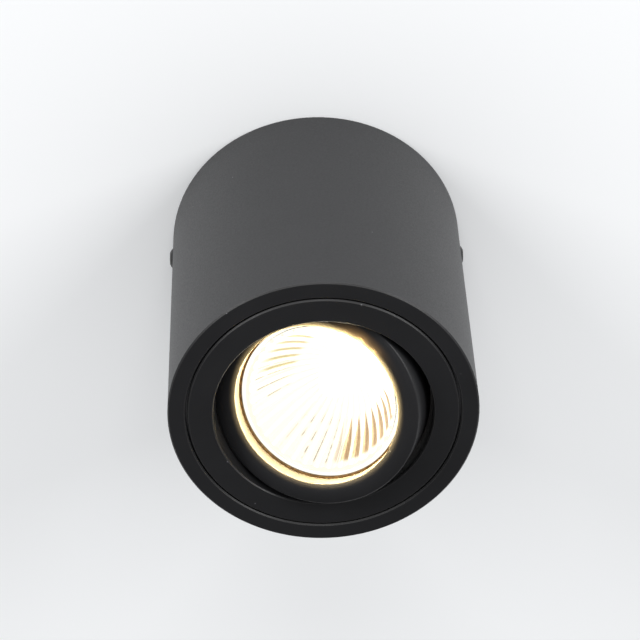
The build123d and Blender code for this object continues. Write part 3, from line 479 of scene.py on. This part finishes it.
BORE_RADIUS, RING_FRONT = 25.25, -7.9  # in mm, the station from the pivot along the lamp
BORE_CHAMFER, BORE_BREAK = 0.6, 0.1  # the solid's chamfer, and the finer one made here


def solid_copy(name):
    """A bmesh of a CAD node, merged, in the lamp's own coordinates."""
    mesh = bmesh.new()
    mesh.from_mesh(nodes[name].data)
    bmesh.ops.remove_doubles(mesh, verts=mesh.verts, dist=MERGED)
    bmesh.ops.recalc_face_normals(mesh, faces=mesh.faces)
    bmesh.ops.transform(mesh, matrix=lamp_frame.inverted(), verts=mesh.verts)
    return mesh


def on_the_lamp(mesh, name, finish, angle):
    """A piece that tilts with the lamp, from a bmesh in the lamp's own coordinates."""
    bmesh.ops.transform(mesh, matrix=lamp_frame, verts=mesh.verts)
    made = as_object(mesh, name)
    smooth(made, angle)
    made.data.materials.append(finish)
    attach(made, "tilting_lamp")
    return made


def near(length, wanted):
    """Whether two lengths in millimetres belong to the same corner."""
    return abs(length - wanted) < 0.05


mesh = solid_copy("gimbal_ring")
for vert in mesh.verts:
    radius, station = vert.co.xy.length / MM, vert.co.z / MM
    if near(radius, BORE_RADIUS) and near(station, RING_FRONT + BORE_CHAMFER):
        vert.co.z = (RING_FRONT + BORE_BREAK) * MM
    elif near(radius, BORE_RADIUS + BORE_CHAMFER) and near(station, RING_FRONT):
        vert.co.xy *= (BORE_RADIUS + BORE_BREAK) / radius
tilting_ring = on_the_lamp(mesh, "tilting_ring", black_powder_coat, 32)
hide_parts("gimbal_ring")


def in_lamp_coordinates(tree):
    """Object coordinates turned to the lamp: Z along it, X along the tilt axis, in metres."""
    place = put(tree, "ShaderNodeTexCoord").outputs["Object"]
    back = lamp_frame.inverted()
    return put(tree, "ShaderNodeMapping", {}, {
        "Vector": place, "Location": back.translation, "Rotation": back.to_euler()})


def round_the_lamp(tree):
    """Distance from the lamp's axis, and a function for the way round it."""
    part = put(tree, "ShaderNodeSeparateXYZ", {}, {0: in_lamp_coordinates(tree).outputs[0]})
    flat = put(tree, "ShaderNodeCombineXYZ", {}, {0: part.outputs[0], 1: part.outputs[1]})
    radius = put(tree, "ShaderNodeVectorMath", {"operation": "LENGTH"}, {0: flat})

    def toward(degrees, full, gone):
        """1 on this side of the lamp, 0 away from it: full and gone are degrees either way."""
        side = (cos(radians(degrees)), sin(radians(degrees)), 0)
        reach = put(tree, "ShaderNodeVectorMath", {"operation": "DOT_PRODUCT"}, {0: flat, 1: side})
        share = put(tree, "ShaderNodeMath", {"operation": "DIVIDE"},
                    {0: reach.outputs["Value"], 1: radius.outputs["Value"]})
        return put(tree, "ShaderNodeMapRange", {"interpolation_type": "SMOOTHSTEP"},
                   {0: share, 1: cos(radians(gone)), 2: cos(radians(full))}).outputs[0]

    return radius.outputs["Value"], toward


dress(barrel_plated_steel, "pivot_pin_a", "pivot_pin_b")

pressed_fibre, tree = new_finish("pressed_fibre")
place = put(tree, "ShaderNodeTexCoord").outputs["Object"]
fibres = put(tree, "ShaderNodeTexNoise", {}, {"Vector": place, "Scale": 1 / (0.3 * MM), "Detail": 4.0,
                                              "Distortion": 1.5})
colour = put(tree, "ShaderNodeMix", {"data_type": "RGBA"},
             {0: fibres, 6: linear("#1f1d1b"), 7: linear("#3a3733")})
rough = put(tree, "ShaderNodeMapRange", {}, {0: fibres, 3: 0.66, 4: 0.84})
surface(tree, {"Base Color": colour, "Roughness": rough}, fibres, 0.3, 0.03)
dress(pressed_fibre, "friction_washer_a", "friction_washer_b")


# ---- reflector of the lamp -----------------------------------------------------------------
# A pressed borosilicate bowl, fluted inside and vapour-coated so that it mirrors light and lets
# heat and a little red-brown light out at its back. The lamp is lit, so the bowl glows white.
LAMP_RADIUS = 25.0
RIM_FRONT, RIM_BACK = -2.25, 0.75  # stations along the lamp, in mm from the pivot
GLASS_RADIUS = 23.4
CEMENT = 0.05  # the film between the glass and the bowl
NECK_STATION, NECK_RADIUS = 27.5, 9.6
BOWL_DEPTH, BOWL_POWER, BOWL_STEPS = 28.4, 2.4, 18
MOUTH_RADIUS, MOUTH_STATION = 22.0, NECK_STATION - BOWL_DEPTH
BURNER_HOLE = 5.0
BASE_STATION = 29.0
FLUTES, FLUTE_STEPS = 36, 12
FLUTE_RISE = 0.03
PLAIN_RIDGE = 0.78  # on the smooth rim and round the burner, where no flute is drawn


def spun(outline, steps):
    """A bmesh spun about Z from an outline of (radius, station) corners in millimetres."""
    mesh = bmesh.new()
    corners = [mesh.verts.new((radius * MM, 0, station * MM)) for radius, station in outline]
    for here, there in zip(corners, corners[1:] + corners[:1]):
        mesh.edges.new((here, there))
    bmesh.ops.spin(mesh, geom=mesh.verts[:] + mesh.edges[:], cent=(0, 0, 0), axis=(0, 0, 1),
                   angle=2 * pi, steps=steps, use_merge=True)
    bmesh.ops.remove_doubles(mesh, verts=mesh.verts, dist=MERGED)
    bmesh.ops.recalc_face_normals(mesh, faces=mesh.faces)
    return mesh


bowl = []
for step in range(BOWL_STEPS + 1):
    share = 1 - step / BOWL_STEPS * (1 - BURNER_HOLE / MOUTH_RADIUS)
    bowl.append((MOUTH_RADIUS * share, NECK_STATION - BOWL_DEPTH * share ** BOWL_POWER))
outside = [(BURNER_HOLE, BASE_STATION), (NECK_RADIUS, BASE_STATION), (NECK_RADIUS, NECK_STATION),
           (15.4, 20.5), (19.6, 13.5), (22.6, 7.0), (23.5, RIM_BACK + 2), (23.5, RIM_BACK),
           (LAMP_RADIUS, RIM_BACK), (LAMP_RADIUS, RIM_FRONT + 0.4), (LAMP_RADIUS - 0.4, RIM_FRONT),
           (GLASS_RADIUS + CEMENT, RIM_FRONT), (GLASS_RADIUS + CEMENT, MOUTH_STATION)]
mesh = spun(outside + bowl, FLUTES * FLUTE_STEPS)
ridge_layer = mesh.verts.layers.float.new("ridge")
bowl_layer = mesh.verts.layers.float.new("bowl")
for vert in mesh.verts:
    radius, station = vert.co.xy.length / MM, vert.co.z / MM
    turn = vert.co.xy.angle_signed(Vector((1, 0)), 0.0) if radius else 0.0
    across = (turn / (2 * pi) * FLUTES) % 1.0
    if min(abs(radius - r) + abs(station - z) for r, z in bowl[:-1]) < 0.01:
        vert.co.xy *= 1 + FLUTE_RISE * (1 - (2 * across - 1) ** 2)
        vert[ridge_layer] = abs(2 * across - 1)
        vert[bowl_layer] = 1.0
    elif min(abs(radius - r) + abs(station - z) for r, z in outside[-3:] + bowl[-1:]) < 0.01:
        vert[ridge_layer] = PLAIN_RIDGE
        vert[bowl_layer] = 1.0

# The flutes' shade is painted into the glow: tan wedges of painted shade lie in the flutes' hollows
# on one side, paler streaks of painted shade in those above, and thin grey lines of painted shade
# on the ridges opposite. All fade towards the burner, which outshines what is near it.
WEDGE_TOWARD, WEDGE_HALF = 275, (30, 45)  # degrees round the lamp: full, and gone
WEDGE_START, WEDGE_FULL = 13.2 * MM, 18.5 * MM
STREAK_TOWARD, STREAK_HALF = 85, (18, 32)
STREAK_START, STREAK_END = 12.5 * MM, 21.9 * MM
LINE_TOWARD, LINE_HALF = (60, 334), (16, 32)
LINE_START = 12.0 * MM
FLUTE_END = 21.9 * MM
BOWL_GLOW = (1.10, 1.08, 0.99, 1)  # past white, so that it shows white in any view

coated_glass, tree = new_finish("coated_glass")
radius, toward = round_the_lamp(tree)
place = in_lamp_coordinates(tree)
ridge = put(tree, "ShaderNodeAttribute", {"attribute_name": "ridge"}).outputs["Fac"]
bowl_share = put(tree, "ShaderNodeAttribute", {"attribute_name": "bowl"}).outputs["Fac"]

# Tan wedges of painted shade, in the flutes' hollows on one side.
wide = put(tree, "ShaderNodeMapRange", {}, {0: radius, 1: WEDGE_START, 2: WEDGE_FULL,
                                            3: -0.05, 4: 0.70})
wedge_shade = put(tree, "ShaderNodeMath", {"operation": "SUBTRACT"}, {0: wide, 1: ridge})
wedge_shade = put(tree, "ShaderNodeMapRange", {"interpolation_type": "SMOOTHSTEP"},
            {0: wedge_shade, 1: -0.07, 2: 0.07})
fluted = put(tree, "ShaderNodeMapRange", {"interpolation_type": "SMOOTHSTEP"},
             {0: radius, 1: FLUTE_END, 2: FLUTE_END - 0.8 * MM})
for share in (toward(WEDGE_TOWARD, *WEDGE_HALF), fluted):
    wedge_shade = put(tree, "ShaderNodeMath", {"operation": "MULTIPLY"}, {0: wedge_shade, 1: share})
mottle = put(tree, "ShaderNodeTexNoise", {}, {"Vector": place, "Scale": 1 / (2.4 * MM), "Detail": 2.0})
wedge_shade_colour = put(tree, "ShaderNodeMix", {"data_type": "RGBA"},
          {0: mottle, 6: linear("#93683f"), 7: linear("#bf9b70")})

# Paler streaks of painted shade, in the hollows above.
streak_shade = put(tree, "ShaderNodeMapRange", {"interpolation_type": "SMOOTHSTEP"},
             {0: ridge, 1: 0.15, 2: 0.60, 3: 1.0, 4: 0.0})
inner = put(tree, "ShaderNodeMapRange", {"interpolation_type": "SMOOTHSTEP"},
            {0: radius, 1: STREAK_START, 2: STREAK_START + 2.5 * MM})
rim_gap = put(tree, "ShaderNodeMapRange", {"interpolation_type": "SMOOTHSTEP"},
              {0: radius, 1: STREAK_END, 2: STREAK_END - 3 * MM})
for share in (toward(STREAK_TOWARD, *STREAK_HALF), inner, rim_gap):
    streak_shade = put(tree, "ShaderNodeMath", {"operation": "MULTIPLY"}, {0: streak_shade, 1: share})

# Thin grey lines of painted shade, on the ridges of two sides.
line = put(tree, "ShaderNodeMapRange", {"interpolation_type": "SMOOTHSTEP"},
           {0: ridge, 1: 0.80, 2: 0.97})
broken = put(tree, "ShaderNodeTexNoise", {}, {"Vector": place, "Scale": 1 / (5.5 * MM), "Detail": 1.0})
broken = put(tree, "ShaderNodeMapRange", {}, {0: broken, 1: 0.40, 2: 0.52, 3: 0.0, 4: 0.9})
outer = put(tree, "ShaderNodeMapRange", {}, {0: radius, 1: LINE_START, 2: LINE_START + 4 * MM})
sides = put(tree, "ShaderNodeMath", {"operation": "MAXIMUM"},
            {0: toward(LINE_TOWARD[0], *LINE_HALF), 1: toward(LINE_TOWARD[1], *LINE_HALF)})
for share in (sides, outer, broken, fluted):
    line = put(tree, "ShaderNodeMath", {"operation": "MULTIPLY"}, {0: line, 1: share})

# The painted shade is mixed into the lamp's white glow.
glow = put(tree, "ShaderNodeMix", {"data_type": "RGBA"}, {0: line, 6: BOWL_GLOW, 7: linear("#948a7c")})
glow = put(tree, "ShaderNodeMix", {"data_type": "RGBA"}, {0: streak_shade, 6: glow, 7: linear("#c4b684")})
glow = put(tree, "ShaderNodeMix", {"data_type": "RGBA"}, {0: wedge_shade, 6: glow, 7: wedge_shade_colour})
leak = put(tree, "ShaderNodeMix", {"data_type": "RGBA"},
           {0: mottle, 6: linear("#100805"), 7: linear("#2e190d")})
glow = put(tree, "ShaderNodeMix", {"data_type": "RGBA"}, {0: bowl_share, 6: leak, 7: glow})
rough = put(tree, "ShaderNodeMapRange", {}, {0: mottle, 3: 0.24, 4: 0.36})
surface(tree, {"Base Color": linear("#6a645a"), "Metallic": 1.0, "Roughness": rough,
               "Emission Color": glow, "Emission Strength": 1.0})
reflector = on_the_lamp(mesh, "fluted_reflector", coated_glass, 40)
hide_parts("lamp_reflector")


# ---- front glass of the lamp ---------------------------------------------------------------
# A clear disc of pressed glass, slightly domed in front, with a softened edge. A film of cement
# holds it in the rim, just in front of the bowl's mouth.
GLASS_FRONT, GLASS_BACK = -3.5, MOUTH_STATION - CEMENT
AXIS = 0.001  # mm from the middle, as near to it as the outline goes
DOME = ((AXIS, 0.0), (16.0, 0.06), (22.5, 0.15))  # radius, and how far back the front lies there
GLASS_EDGE, EDGE_BACK, EDGE_STEPS = 0.7, 0.17, 6
GLASS_STEPS = 192

outline = [(reach, GLASS_FRONT + back) for reach, back in DOME]
for step in range(EDGE_STEPS + 1):
    turn = radians(90 * step / EDGE_STEPS)
    outline.append((GLASS_RADIUS - GLASS_EDGE * (1 - sin(turn)),
                    GLASS_FRONT + EDGE_BACK + GLASS_EDGE * (1 - cos(turn))))
outline += [(GLASS_RADIUS, GLASS_BACK), (AXIS, GLASS_BACK)]
mesh = spun(outline, GLASS_STEPS)

clear_pressed_glass, tree = new_finish("clear_pressed_glass")
place = in_lamp_coordinates(tree)
ripple = put(tree, "ShaderNodeTexNoise", {}, {"Vector": place, "Scale": 1 / (4 * MM), "Detail": 1.0})
haze = put(tree, "ShaderNodeMapRange", {}, {0: ripple, 3: 0.0, 4: 0.05})
surface(tree, {"Base Color": linear("#fdfbf4"), "Roughness": haze, "IOR": 1.47,
               "Transmission Weight": 1.0}, ripple, 0.1, 0.05)
glass = on_the_lamp(mesh, "front_glass", clear_pressed_glass, 40)
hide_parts("lamp_front_glass")


# ---- burner and filament -------------------------------------------------------------------
# A quartz capsule, pinched flat at its foot, round a coil of tungsten wire on two supports. The
# glowing coil floods the capsule with white light.
COIL_STATION, COIL_RADIUS, COIL_WIRE = 15.0, 0.8, 0.13
COIL_TURNS, COIL_PITCH, COIL_STEPS = 9, 0.42, 12
SUPPORT_END, SUPPORT_FOOT = 23.0, 3.0  # station of the supports' ends, and their straight feet
SUPPORT_SIDE, SUPPORT_TOP = 0.1, 1.5  # how far the supports stand beside the coil and behind it

glowing_quartz, tree = new_finish("glowing_quartz")
place = in_lamp_coordinates(tree)
striae = put(tree, "ShaderNodeTexNoise", {}, {"Vector": place, "Scale": 1 / (1.5 * MM), "Detail": 2.0})
haze = put(tree, "ShaderNodeMapRange", {}, {0: striae, 3: 0.02, 4: 0.12})
warm = put(tree, "ShaderNodeMix", {"data_type": "RGBA"},
           {0: striae, 6: linear("#fff3d8"), 7: linear("#fffaf0")})
surface(tree, {"Base Color": linear("#fffdf8"), "Roughness": haze, "IOR": 1.46,
               "Transmission Weight": 0.8, "Emission Color": warm, "Emission Strength": 2.2})
dress(glowing_quartz, "lamp_burner")

white_hot_tungsten, tree = new_finish("white_hot_tungsten")
place = in_lamp_coordinates(tree)
hot = put(tree, "ShaderNodeTexNoise", {}, {"Vector": place, "Scale": 1 / (0.6 * MM)})
colour = put(tree, "ShaderNodeMix", {"data_type": "RGBA"},
             {0: hot, 6: linear("#ffdf9a"), 7: linear("#fff2cc")})
surface(tree, {"Base Color": linear("#7d7a76"), "Metallic": 1.0, "Roughness": 0.4,
               "Emission Color": colour, "Emission Strength": 5.0})

half_coil = COIL_TURNS * COIL_PITCH / 2
support = [(half_coil + SUPPORT_SIDE, 0, station) for station in
           (COIL_STATION + SUPPORT_TOP, SUPPORT_END - SUPPORT_FOOT, SUPPORT_END)]
stops = [(-x, y, station) for x, y, station in reversed(support)]
for step in range(COIL_TURNS * COIL_STEPS + 1):
    turn = 2 * pi * step / COIL_STEPS
    stops.append((-half_coil + COIL_PITCH * step / COIL_STEPS, COIL_RADIUS * sin(turn),
                  COIL_STATION + COIL_RADIUS * cos(turn)))
mesh = round_wire("filament", stops + support, COIL_WIRE, 2, 3)
filament = on_the_lamp(mesh, "coiled_filament", white_hot_tungsten, 50)
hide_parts("lamp_filament")


# ---- base and pins of the lamp -------------------------------------------------------------
# The reflector's neck is cemented into a glazed steatite base, and two nickel-plated pins with
# heads stand out of it. The glaze is glossy with fine pinholes, and darker where it pools.
PIN_RINGS = 0.3 * MM  # spacing of the turning marks

glazed_steatite, tree = new_finish("glazed_steatite")
place = put(tree, "ShaderNodeTexCoord").outputs["Object"]
pool = put(tree, "ShaderNodeTexNoise", {}, {"Vector": place, "Scale": 1 / (4 * MM), "Detail": 2.0})
holes = put(tree, "ShaderNodeTexVoronoi", {}, {"Vector": place, "Scale": 1 / (1.3 * MM)})
pinhole = put(tree, "ShaderNodeMapRange", {"interpolation_type": "SMOOTHSTEP"},
              {0: holes.outputs["Distance"], 1: 0.04, 2: 0.09, 3: 1.0, 4: 0.0})
colour = put(tree, "ShaderNodeMix", {"data_type": "RGBA"},
             {0: pool, 6: linear("#d8d2c0"), 7: linear("#eae6da")})
colour = put(tree, "ShaderNodeMix", {"data_type": "RGBA"},
             {0: pinhole, 6: colour, 7: linear("#8f8672")})
rough = put(tree, "ShaderNodeMapRange", {}, {0: pool, 3: 0.14, 4: 0.30})
dip = put(tree, "ShaderNodeMath", {"operation": "SUBTRACT"}, {0: pool, 1: pinhole})
surface(tree, {"Base Color": colour, "Roughness": rough, "IOR": 1.52}, dip, 0.15, 0.05)
dress(glazed_steatite, "lamp_base")

nickel_plate, tree = new_finish("nickel_plate")
place = in_lamp_coordinates(tree)
part = put(tree, "ShaderNodeSeparateXYZ", {}, {0: place})
rings = put(tree, "ShaderNodeMath", {"operation": "MULTIPLY"},
            {0: part.outputs[2], 1: 2 * pi / PIN_RINGS})
rings = put(tree, "ShaderNodeMath", {"operation": "SINE"}, {0: rings})
heat = put(tree, "ShaderNodeTexNoise", {}, {"Vector": place, "Scale": 1 / (2.5 * MM), "Detail": 2.0})
colour = put(tree, "ShaderNodeMix", {"data_type": "RGBA"},
             {0: heat, 6: linear("#c7c3ba"), 7: linear("#b6a684")})
rough = put(tree, "ShaderNodeMapRange", {}, {0: rings, 1: -1.0, 2: 1.0, 3: 0.16, 4: 0.26})
surface(tree, {"Base Color": colour, "Metallic": 1.0, "Roughness": rough}, rings, 0.1, 0.01)
dress(nickel_plate, "lamp_pins")


# ---- wire clip -----------------------------------------------------------------------------
# An open ring of spring wire, snapped into a groove in front of the lamp's rim. The heat has
# turned it brown. It is drawn thinner than the solid's wire, at the bottom of the groove.
CLIP_RADIUS, CLIP_STATION, CLIP_THINNED = 24.8, -2.9, 0.62
SEAT_RADIUS, SEAT_STATION = 25.08, -2.68

scorched_wire, tree = new_finish("scorched_wire")
place = in_lamp_coordinates(tree)
scale = put(tree, "ShaderNodeTexNoise", {}, {"Vector": place, "Scale": 1 / (1.1 * MM), "Detail": 4.0})
scorch = put(tree, "ShaderNodeMapRange", {}, {0: scale, 1: 0.4, 2: 0.65})
colour = put(tree, "ShaderNodeMix", {"data_type": "RGBA"},
             {0: scorch, 6: linear("#6e5230"), 7: linear("#9a7848")})
rough = put(tree, "ShaderNodeMapRange", {}, {0: scale, 3: 0.36, 4: 0.58})
surface(tree, {"Base Color": colour, "Metallic": 0.6, "Roughness": rough}, scale, 0.2, 0.02)

mesh = solid_copy("lamp_retaining_ring")
for vert in mesh.verts:
    radius, station = vert.co.xy.length / MM, vert.co.z / MM
    vert.co.xy *= (SEAT_RADIUS + CLIP_THINNED * (radius - CLIP_RADIUS)) / radius
    vert.co.z = (SEAT_STATION + CLIP_THINNED * (station - CLIP_STATION)) * MM
clip = on_the_lamp(mesh, "wire_clip", scorched_wire, 50)
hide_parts("lamp_retaining_ring")


# ---- lampholder ----------------------------------------------------------------------------
# A body of unglazed steatite, pressed and fired, with two bronze contact cups inside. A sheet
# of pressed mica closes its back, held by two tubular rivets.
fired_steatite, tree = new_finish("fired_steatite")
place = put(tree, "ShaderNodeTexCoord").outputs["Object"]
grains = put(tree, "ShaderNodeTexNoise", {}, {"Vector": place, "Scale": 1 / (0.35 * MM), "Detail": 4.0})
specks = put(tree, "ShaderNodeTexVoronoi", {}, {"Vector": place, "Scale": 1 / (1.8 * MM)})
iron = put(tree, "ShaderNodeMapRange", {"interpolation_type": "SMOOTHSTEP"},
           {0: specks.outputs["Distance"], 1: 0.05, 2: 0.11, 3: 0.8, 4: 0.0})
colour = put(tree, "ShaderNodeMix", {"data_type": "RGBA"},
             {0: grains, 6: linear("#cfc8b6"), 7: linear("#e2dccb")})
colour = put(tree, "ShaderNodeMix", {"data_type": "RGBA"}, {0: iron, 6: colour, 7: linear("#8a6f4e")})
rough = put(tree, "ShaderNodeMapRange", {}, {0: grains, 3: 0.62, 4: 0.82})
surface(tree, {"Base Color": colour, "Roughness": rough}, grains, 0.3, 0.03)
dress(fired_steatite, "lampholder_body")

spring_bronze, tree = new_finish("spring_bronze")
place = put(tree, "ShaderNodeTexCoord").outputs["Object"]
oxide = put(tree, "ShaderNodeTexNoise", {}, {"Vector": place, "Scale": 1 / (1.4 * MM), "Detail": 3.0})
colour = put(tree, "ShaderNodeMix", {"data_type": "RGBA"},
             {0: oxide, 6: linear("#c08a58"), 7: linear("#8a5c3a")})
rough = put(tree, "ShaderNodeMapRange", {}, {0: oxide, 3: 0.22, 4: 0.42})
surface(tree, {"Base Color": colour, "Metallic": 1.0, "Roughness": rough}, oxide, 0.1, 0.01)
dress(spring_bronze, "holder_contacts")

pressed_mica, tree = new_finish("pressed_mica")
place = in_lamp_coordinates(tree)
flakes = put(tree, "ShaderNodeTexVoronoi", {}, {"Vector": place, "Scale": 1 / (1.6 * MM)})
shade = put(tree, "ShaderNodeSeparateColor", {}, {0: flakes.outputs["Color"]})
colour = put(tree, "ShaderNodeMix", {"data_type": "RGBA"},
             {0: shade.outputs[0], 6: linear("#94835f"), 7: linear("#c4b48c")})
rough = put(tree, "ShaderNodeMapRange", {}, {0: shade.outputs[1], 3: 0.22, 4: 0.50})
surface(tree, {"Base Color": colour, "Roughness": rough, "IOR": 1.58,
               "Coat Weight": 0.3, "Coat Roughness": 0.2}, shade.outputs[2], 0.2, 0.02)
dress(pressed_mica, "holder_cover")


# ---- lamp leads ----------------------------------------------------------------------------
# Two leads in white glass-fibre sleeves, from the holder over to the tube's wall, down and round
# in a slack loop, and up to the terminal block. The slack lets the lamp tilt and the insert turn.
# Each lead is drawn in two halves that meet at the bottom of its loop.
HOLDER_INSIDE, HOLDER_OUTSIDE = 53.2, 69.7
PIN_X = 5.0
LINE_STOPS = [(33.0, 55, -19.5), (40.0, 62, -26.0), (41.0, 78, -40.0), (41.2, 100, -46.5),
              (40.6, 120, -36.0), (37.0, 138, -24.0), (30.0, 153, -16.0)]
NEUTRAL_STOPS = [(34.0, 13, -21.5), (40.0, 3, -30.0), (41.2, -16, -43.0), (41.2, -42, -50.0),
                 (41.2, -68, -46.0), (41.0, -92, -36.0), (38.5, -114, -27.0), (33.0, -136, -20.0)]
BRAID_PITCH, SLEEVE_LENGTH = 1.5, 120  # mm: the pitch holds on a half that is this long
BRAID_STRANDS = 5  # each way round, drawn coarser than a real braid so that it shows

braided_sleeve, tree = new_finish("braided_sleeve")
wrap = put(tree, "ShaderNodeUVMap", {"uv_map": "UVMap"})
wrap = put(tree, "ShaderNodeSeparateXYZ", {}, {0: wrap.outputs[0]})
ply = []
for turn in (-BRAID_STRANDS, BRAID_STRANDS):
    strand = put(tree, "ShaderNodeMath", {"operation": "MULTIPLY"},
                 {0: wrap.outputs[0], 1: SLEEVE_LENGTH / BRAID_PITCH})
    strand = put(tree, "ShaderNodeMath", {"operation": "MULTIPLY_ADD"},
                 {0: wrap.outputs[1], 1: turn, 2: strand})
    strand = put(tree, "ShaderNodeMath", {"operation": "MULTIPLY"}, {0: strand, 1: 2 * pi})
    ply.append(put(tree, "ShaderNodeMath", {"operation": "SINE"}, {0: strand}))
weave = put(tree, "ShaderNodeMath", {"operation": "MAXIMUM"}, {0: ply[0], 1: ply[1]})
weave = put(tree, "ShaderNodeMapRange", {}, {0: weave, 1: -0.6, 2: 1.0})
place = put(tree, "ShaderNodeTexCoord").outputs["Object"]
soil = put(tree, "ShaderNodeTexNoise", {}, {"Vector": place, "Scale": 1 / (6 * MM), "Detail": 3.0})
pale = put(tree, "ShaderNodeMix", {"data_type": "RGBA"},
           {0: soil, 6: linear("#d9d6cc"), 7: linear("#ece9e0")})
# The weave's hollows are painted darker, as painted shade between the strands.
colour = put(tree, "ShaderNodeMix", {"data_type": "RGBA"}, {0: weave, 6: linear("#a9a493"), 7: pale})
rough = put(tree, "ShaderNodeMapRange", {}, {0: weave, 3: 0.75, 4: 0.55})
surface(tree, {"Base Color": colour, "Roughness": rough}, weave, 0.5, 0.08)


def in_lamp(x, y, station):
    """A point of the lamp's own frame as one of the light's, both in millimetres."""
    return lamp_frame @ (Vector((x, y, station)) * MM) / MM


def polar(radius, azimuth, z):
    """A point in the housing from its distance to the axis, compass direction and height."""
    return Vector((radius * cos(radians(azimuth)), radius * sin(radians(azimuth)), z))


for name, side, wall_stops, block_y in (("line", 1, LINE_STOPS, 8.0),
                                        ("neutral", -1, NEUTRAL_STOPS, -8.0)):
    holder = [in_lamp(side * PIN_X, 0, HOLDER_INSIDE), in_lamp(side * PIN_X, 0, HOLDER_OUTSIDE)]
    wall = [polar(*stop) for stop in wall_stops]
    block = [Vector((-21.0, block_y * 1.5, BLOCK_ENTRY_Z - 2.4)),
             Vector((-15.5, block_y, BLOCK_ENTRY_Z)), Vector((BLOCK_ENTRY, block_y, BLOCK_ENTRY_Z))]
    low = min(range(len(wall)), key=lambda at: wall[at].z)
    meeting = (wall[low] + wall[low + 1]) / 2
    lamp_half = lead_through(f"lamp_lead_{name}_lower", holder + wall[:low + 1] + [meeting])
    block_half = lead_through(f"lamp_lead_{name}_upper", [meeting] + wall[low + 1:] + block)
    for half in (lamp_half, block_half):
        half.data.materials.append(braided_sleeve)
    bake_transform(lamp_half)
    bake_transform(block_half)
    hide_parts(f"lead_{name}")
    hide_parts(f"lead_{name}")


# ---- light of the lamp ---------------------------------------------------------------------
# The lit lamp floods the bore of the tilting ring with warm light, and the glass edge throws
# some on the ring's face, on one side. These lights fall on that ring alone.
GLOW_WARM, GLOW_POWER = "#ffe0a0", 4.2
GLOW_STATION = RIM_FRONT - 0.3
SPILL_ORANGE, SPILL_SIZE = "#ffc878", 0.5 * MM
SPILLS = ((163, 0.003), (174, 0.014), (185, 0.006))  # degrees round the lamp, and watts
SPILL_RADIUS, SPILL_STATION = 24.8, -8.9

lit_bore = bpy.data.collections.new("lit_bore")
lit_bore.objects.link(tilting_ring)

glow_light = bpy.data.lights.new("lamp_glow", "AREA")
glow_light.shape = "DISK"
glow_light.size = 2 * GLASS_RADIUS * MM
glow_light.energy = GLOW_POWER
glow_light.color = linear(GLOW_WARM)[:3]
glow_light.use_shadow = False
beam = bpy.data.objects.new("lamp_glow", glow_light)
beam.matrix_world = lamp_frame @ Matrix.Translation((0, 0, GLOW_STATION * MM))
beam.visible_camera = False
beam.visible_transmission = False
beam.light_linking.receiver_collection = lit_bore
bpy.context.scene.collection.objects.link(beam)
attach(beam, "tilting_lamp")

for degrees, power in SPILLS:
    turn = radians(degrees)
    spill_light = bpy.data.lights.new(f"edge_spill_{degrees}", "POINT")
    spill_light.energy = power
    spill_light.color = linear(SPILL_ORANGE)[:3]
    spill_light.shadow_soft_size = SPILL_SIZE
    spill = bpy.data.objects.new(f"edge_spill_{degrees}", spill_light)
    spill.matrix_world = Matrix.Translation(
        in_lamp(SPILL_RADIUS * cos(turn), SPILL_RADIUS * sin(turn), SPILL_STATION) * MM)
    spill.visible_camera = False
    spill.visible_glossy = False
    spill.light_linking.receiver_collection = lit_bore
    bpy.context.scene.collection.objects.link(spill)
    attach(spill, "tilting_lamp")
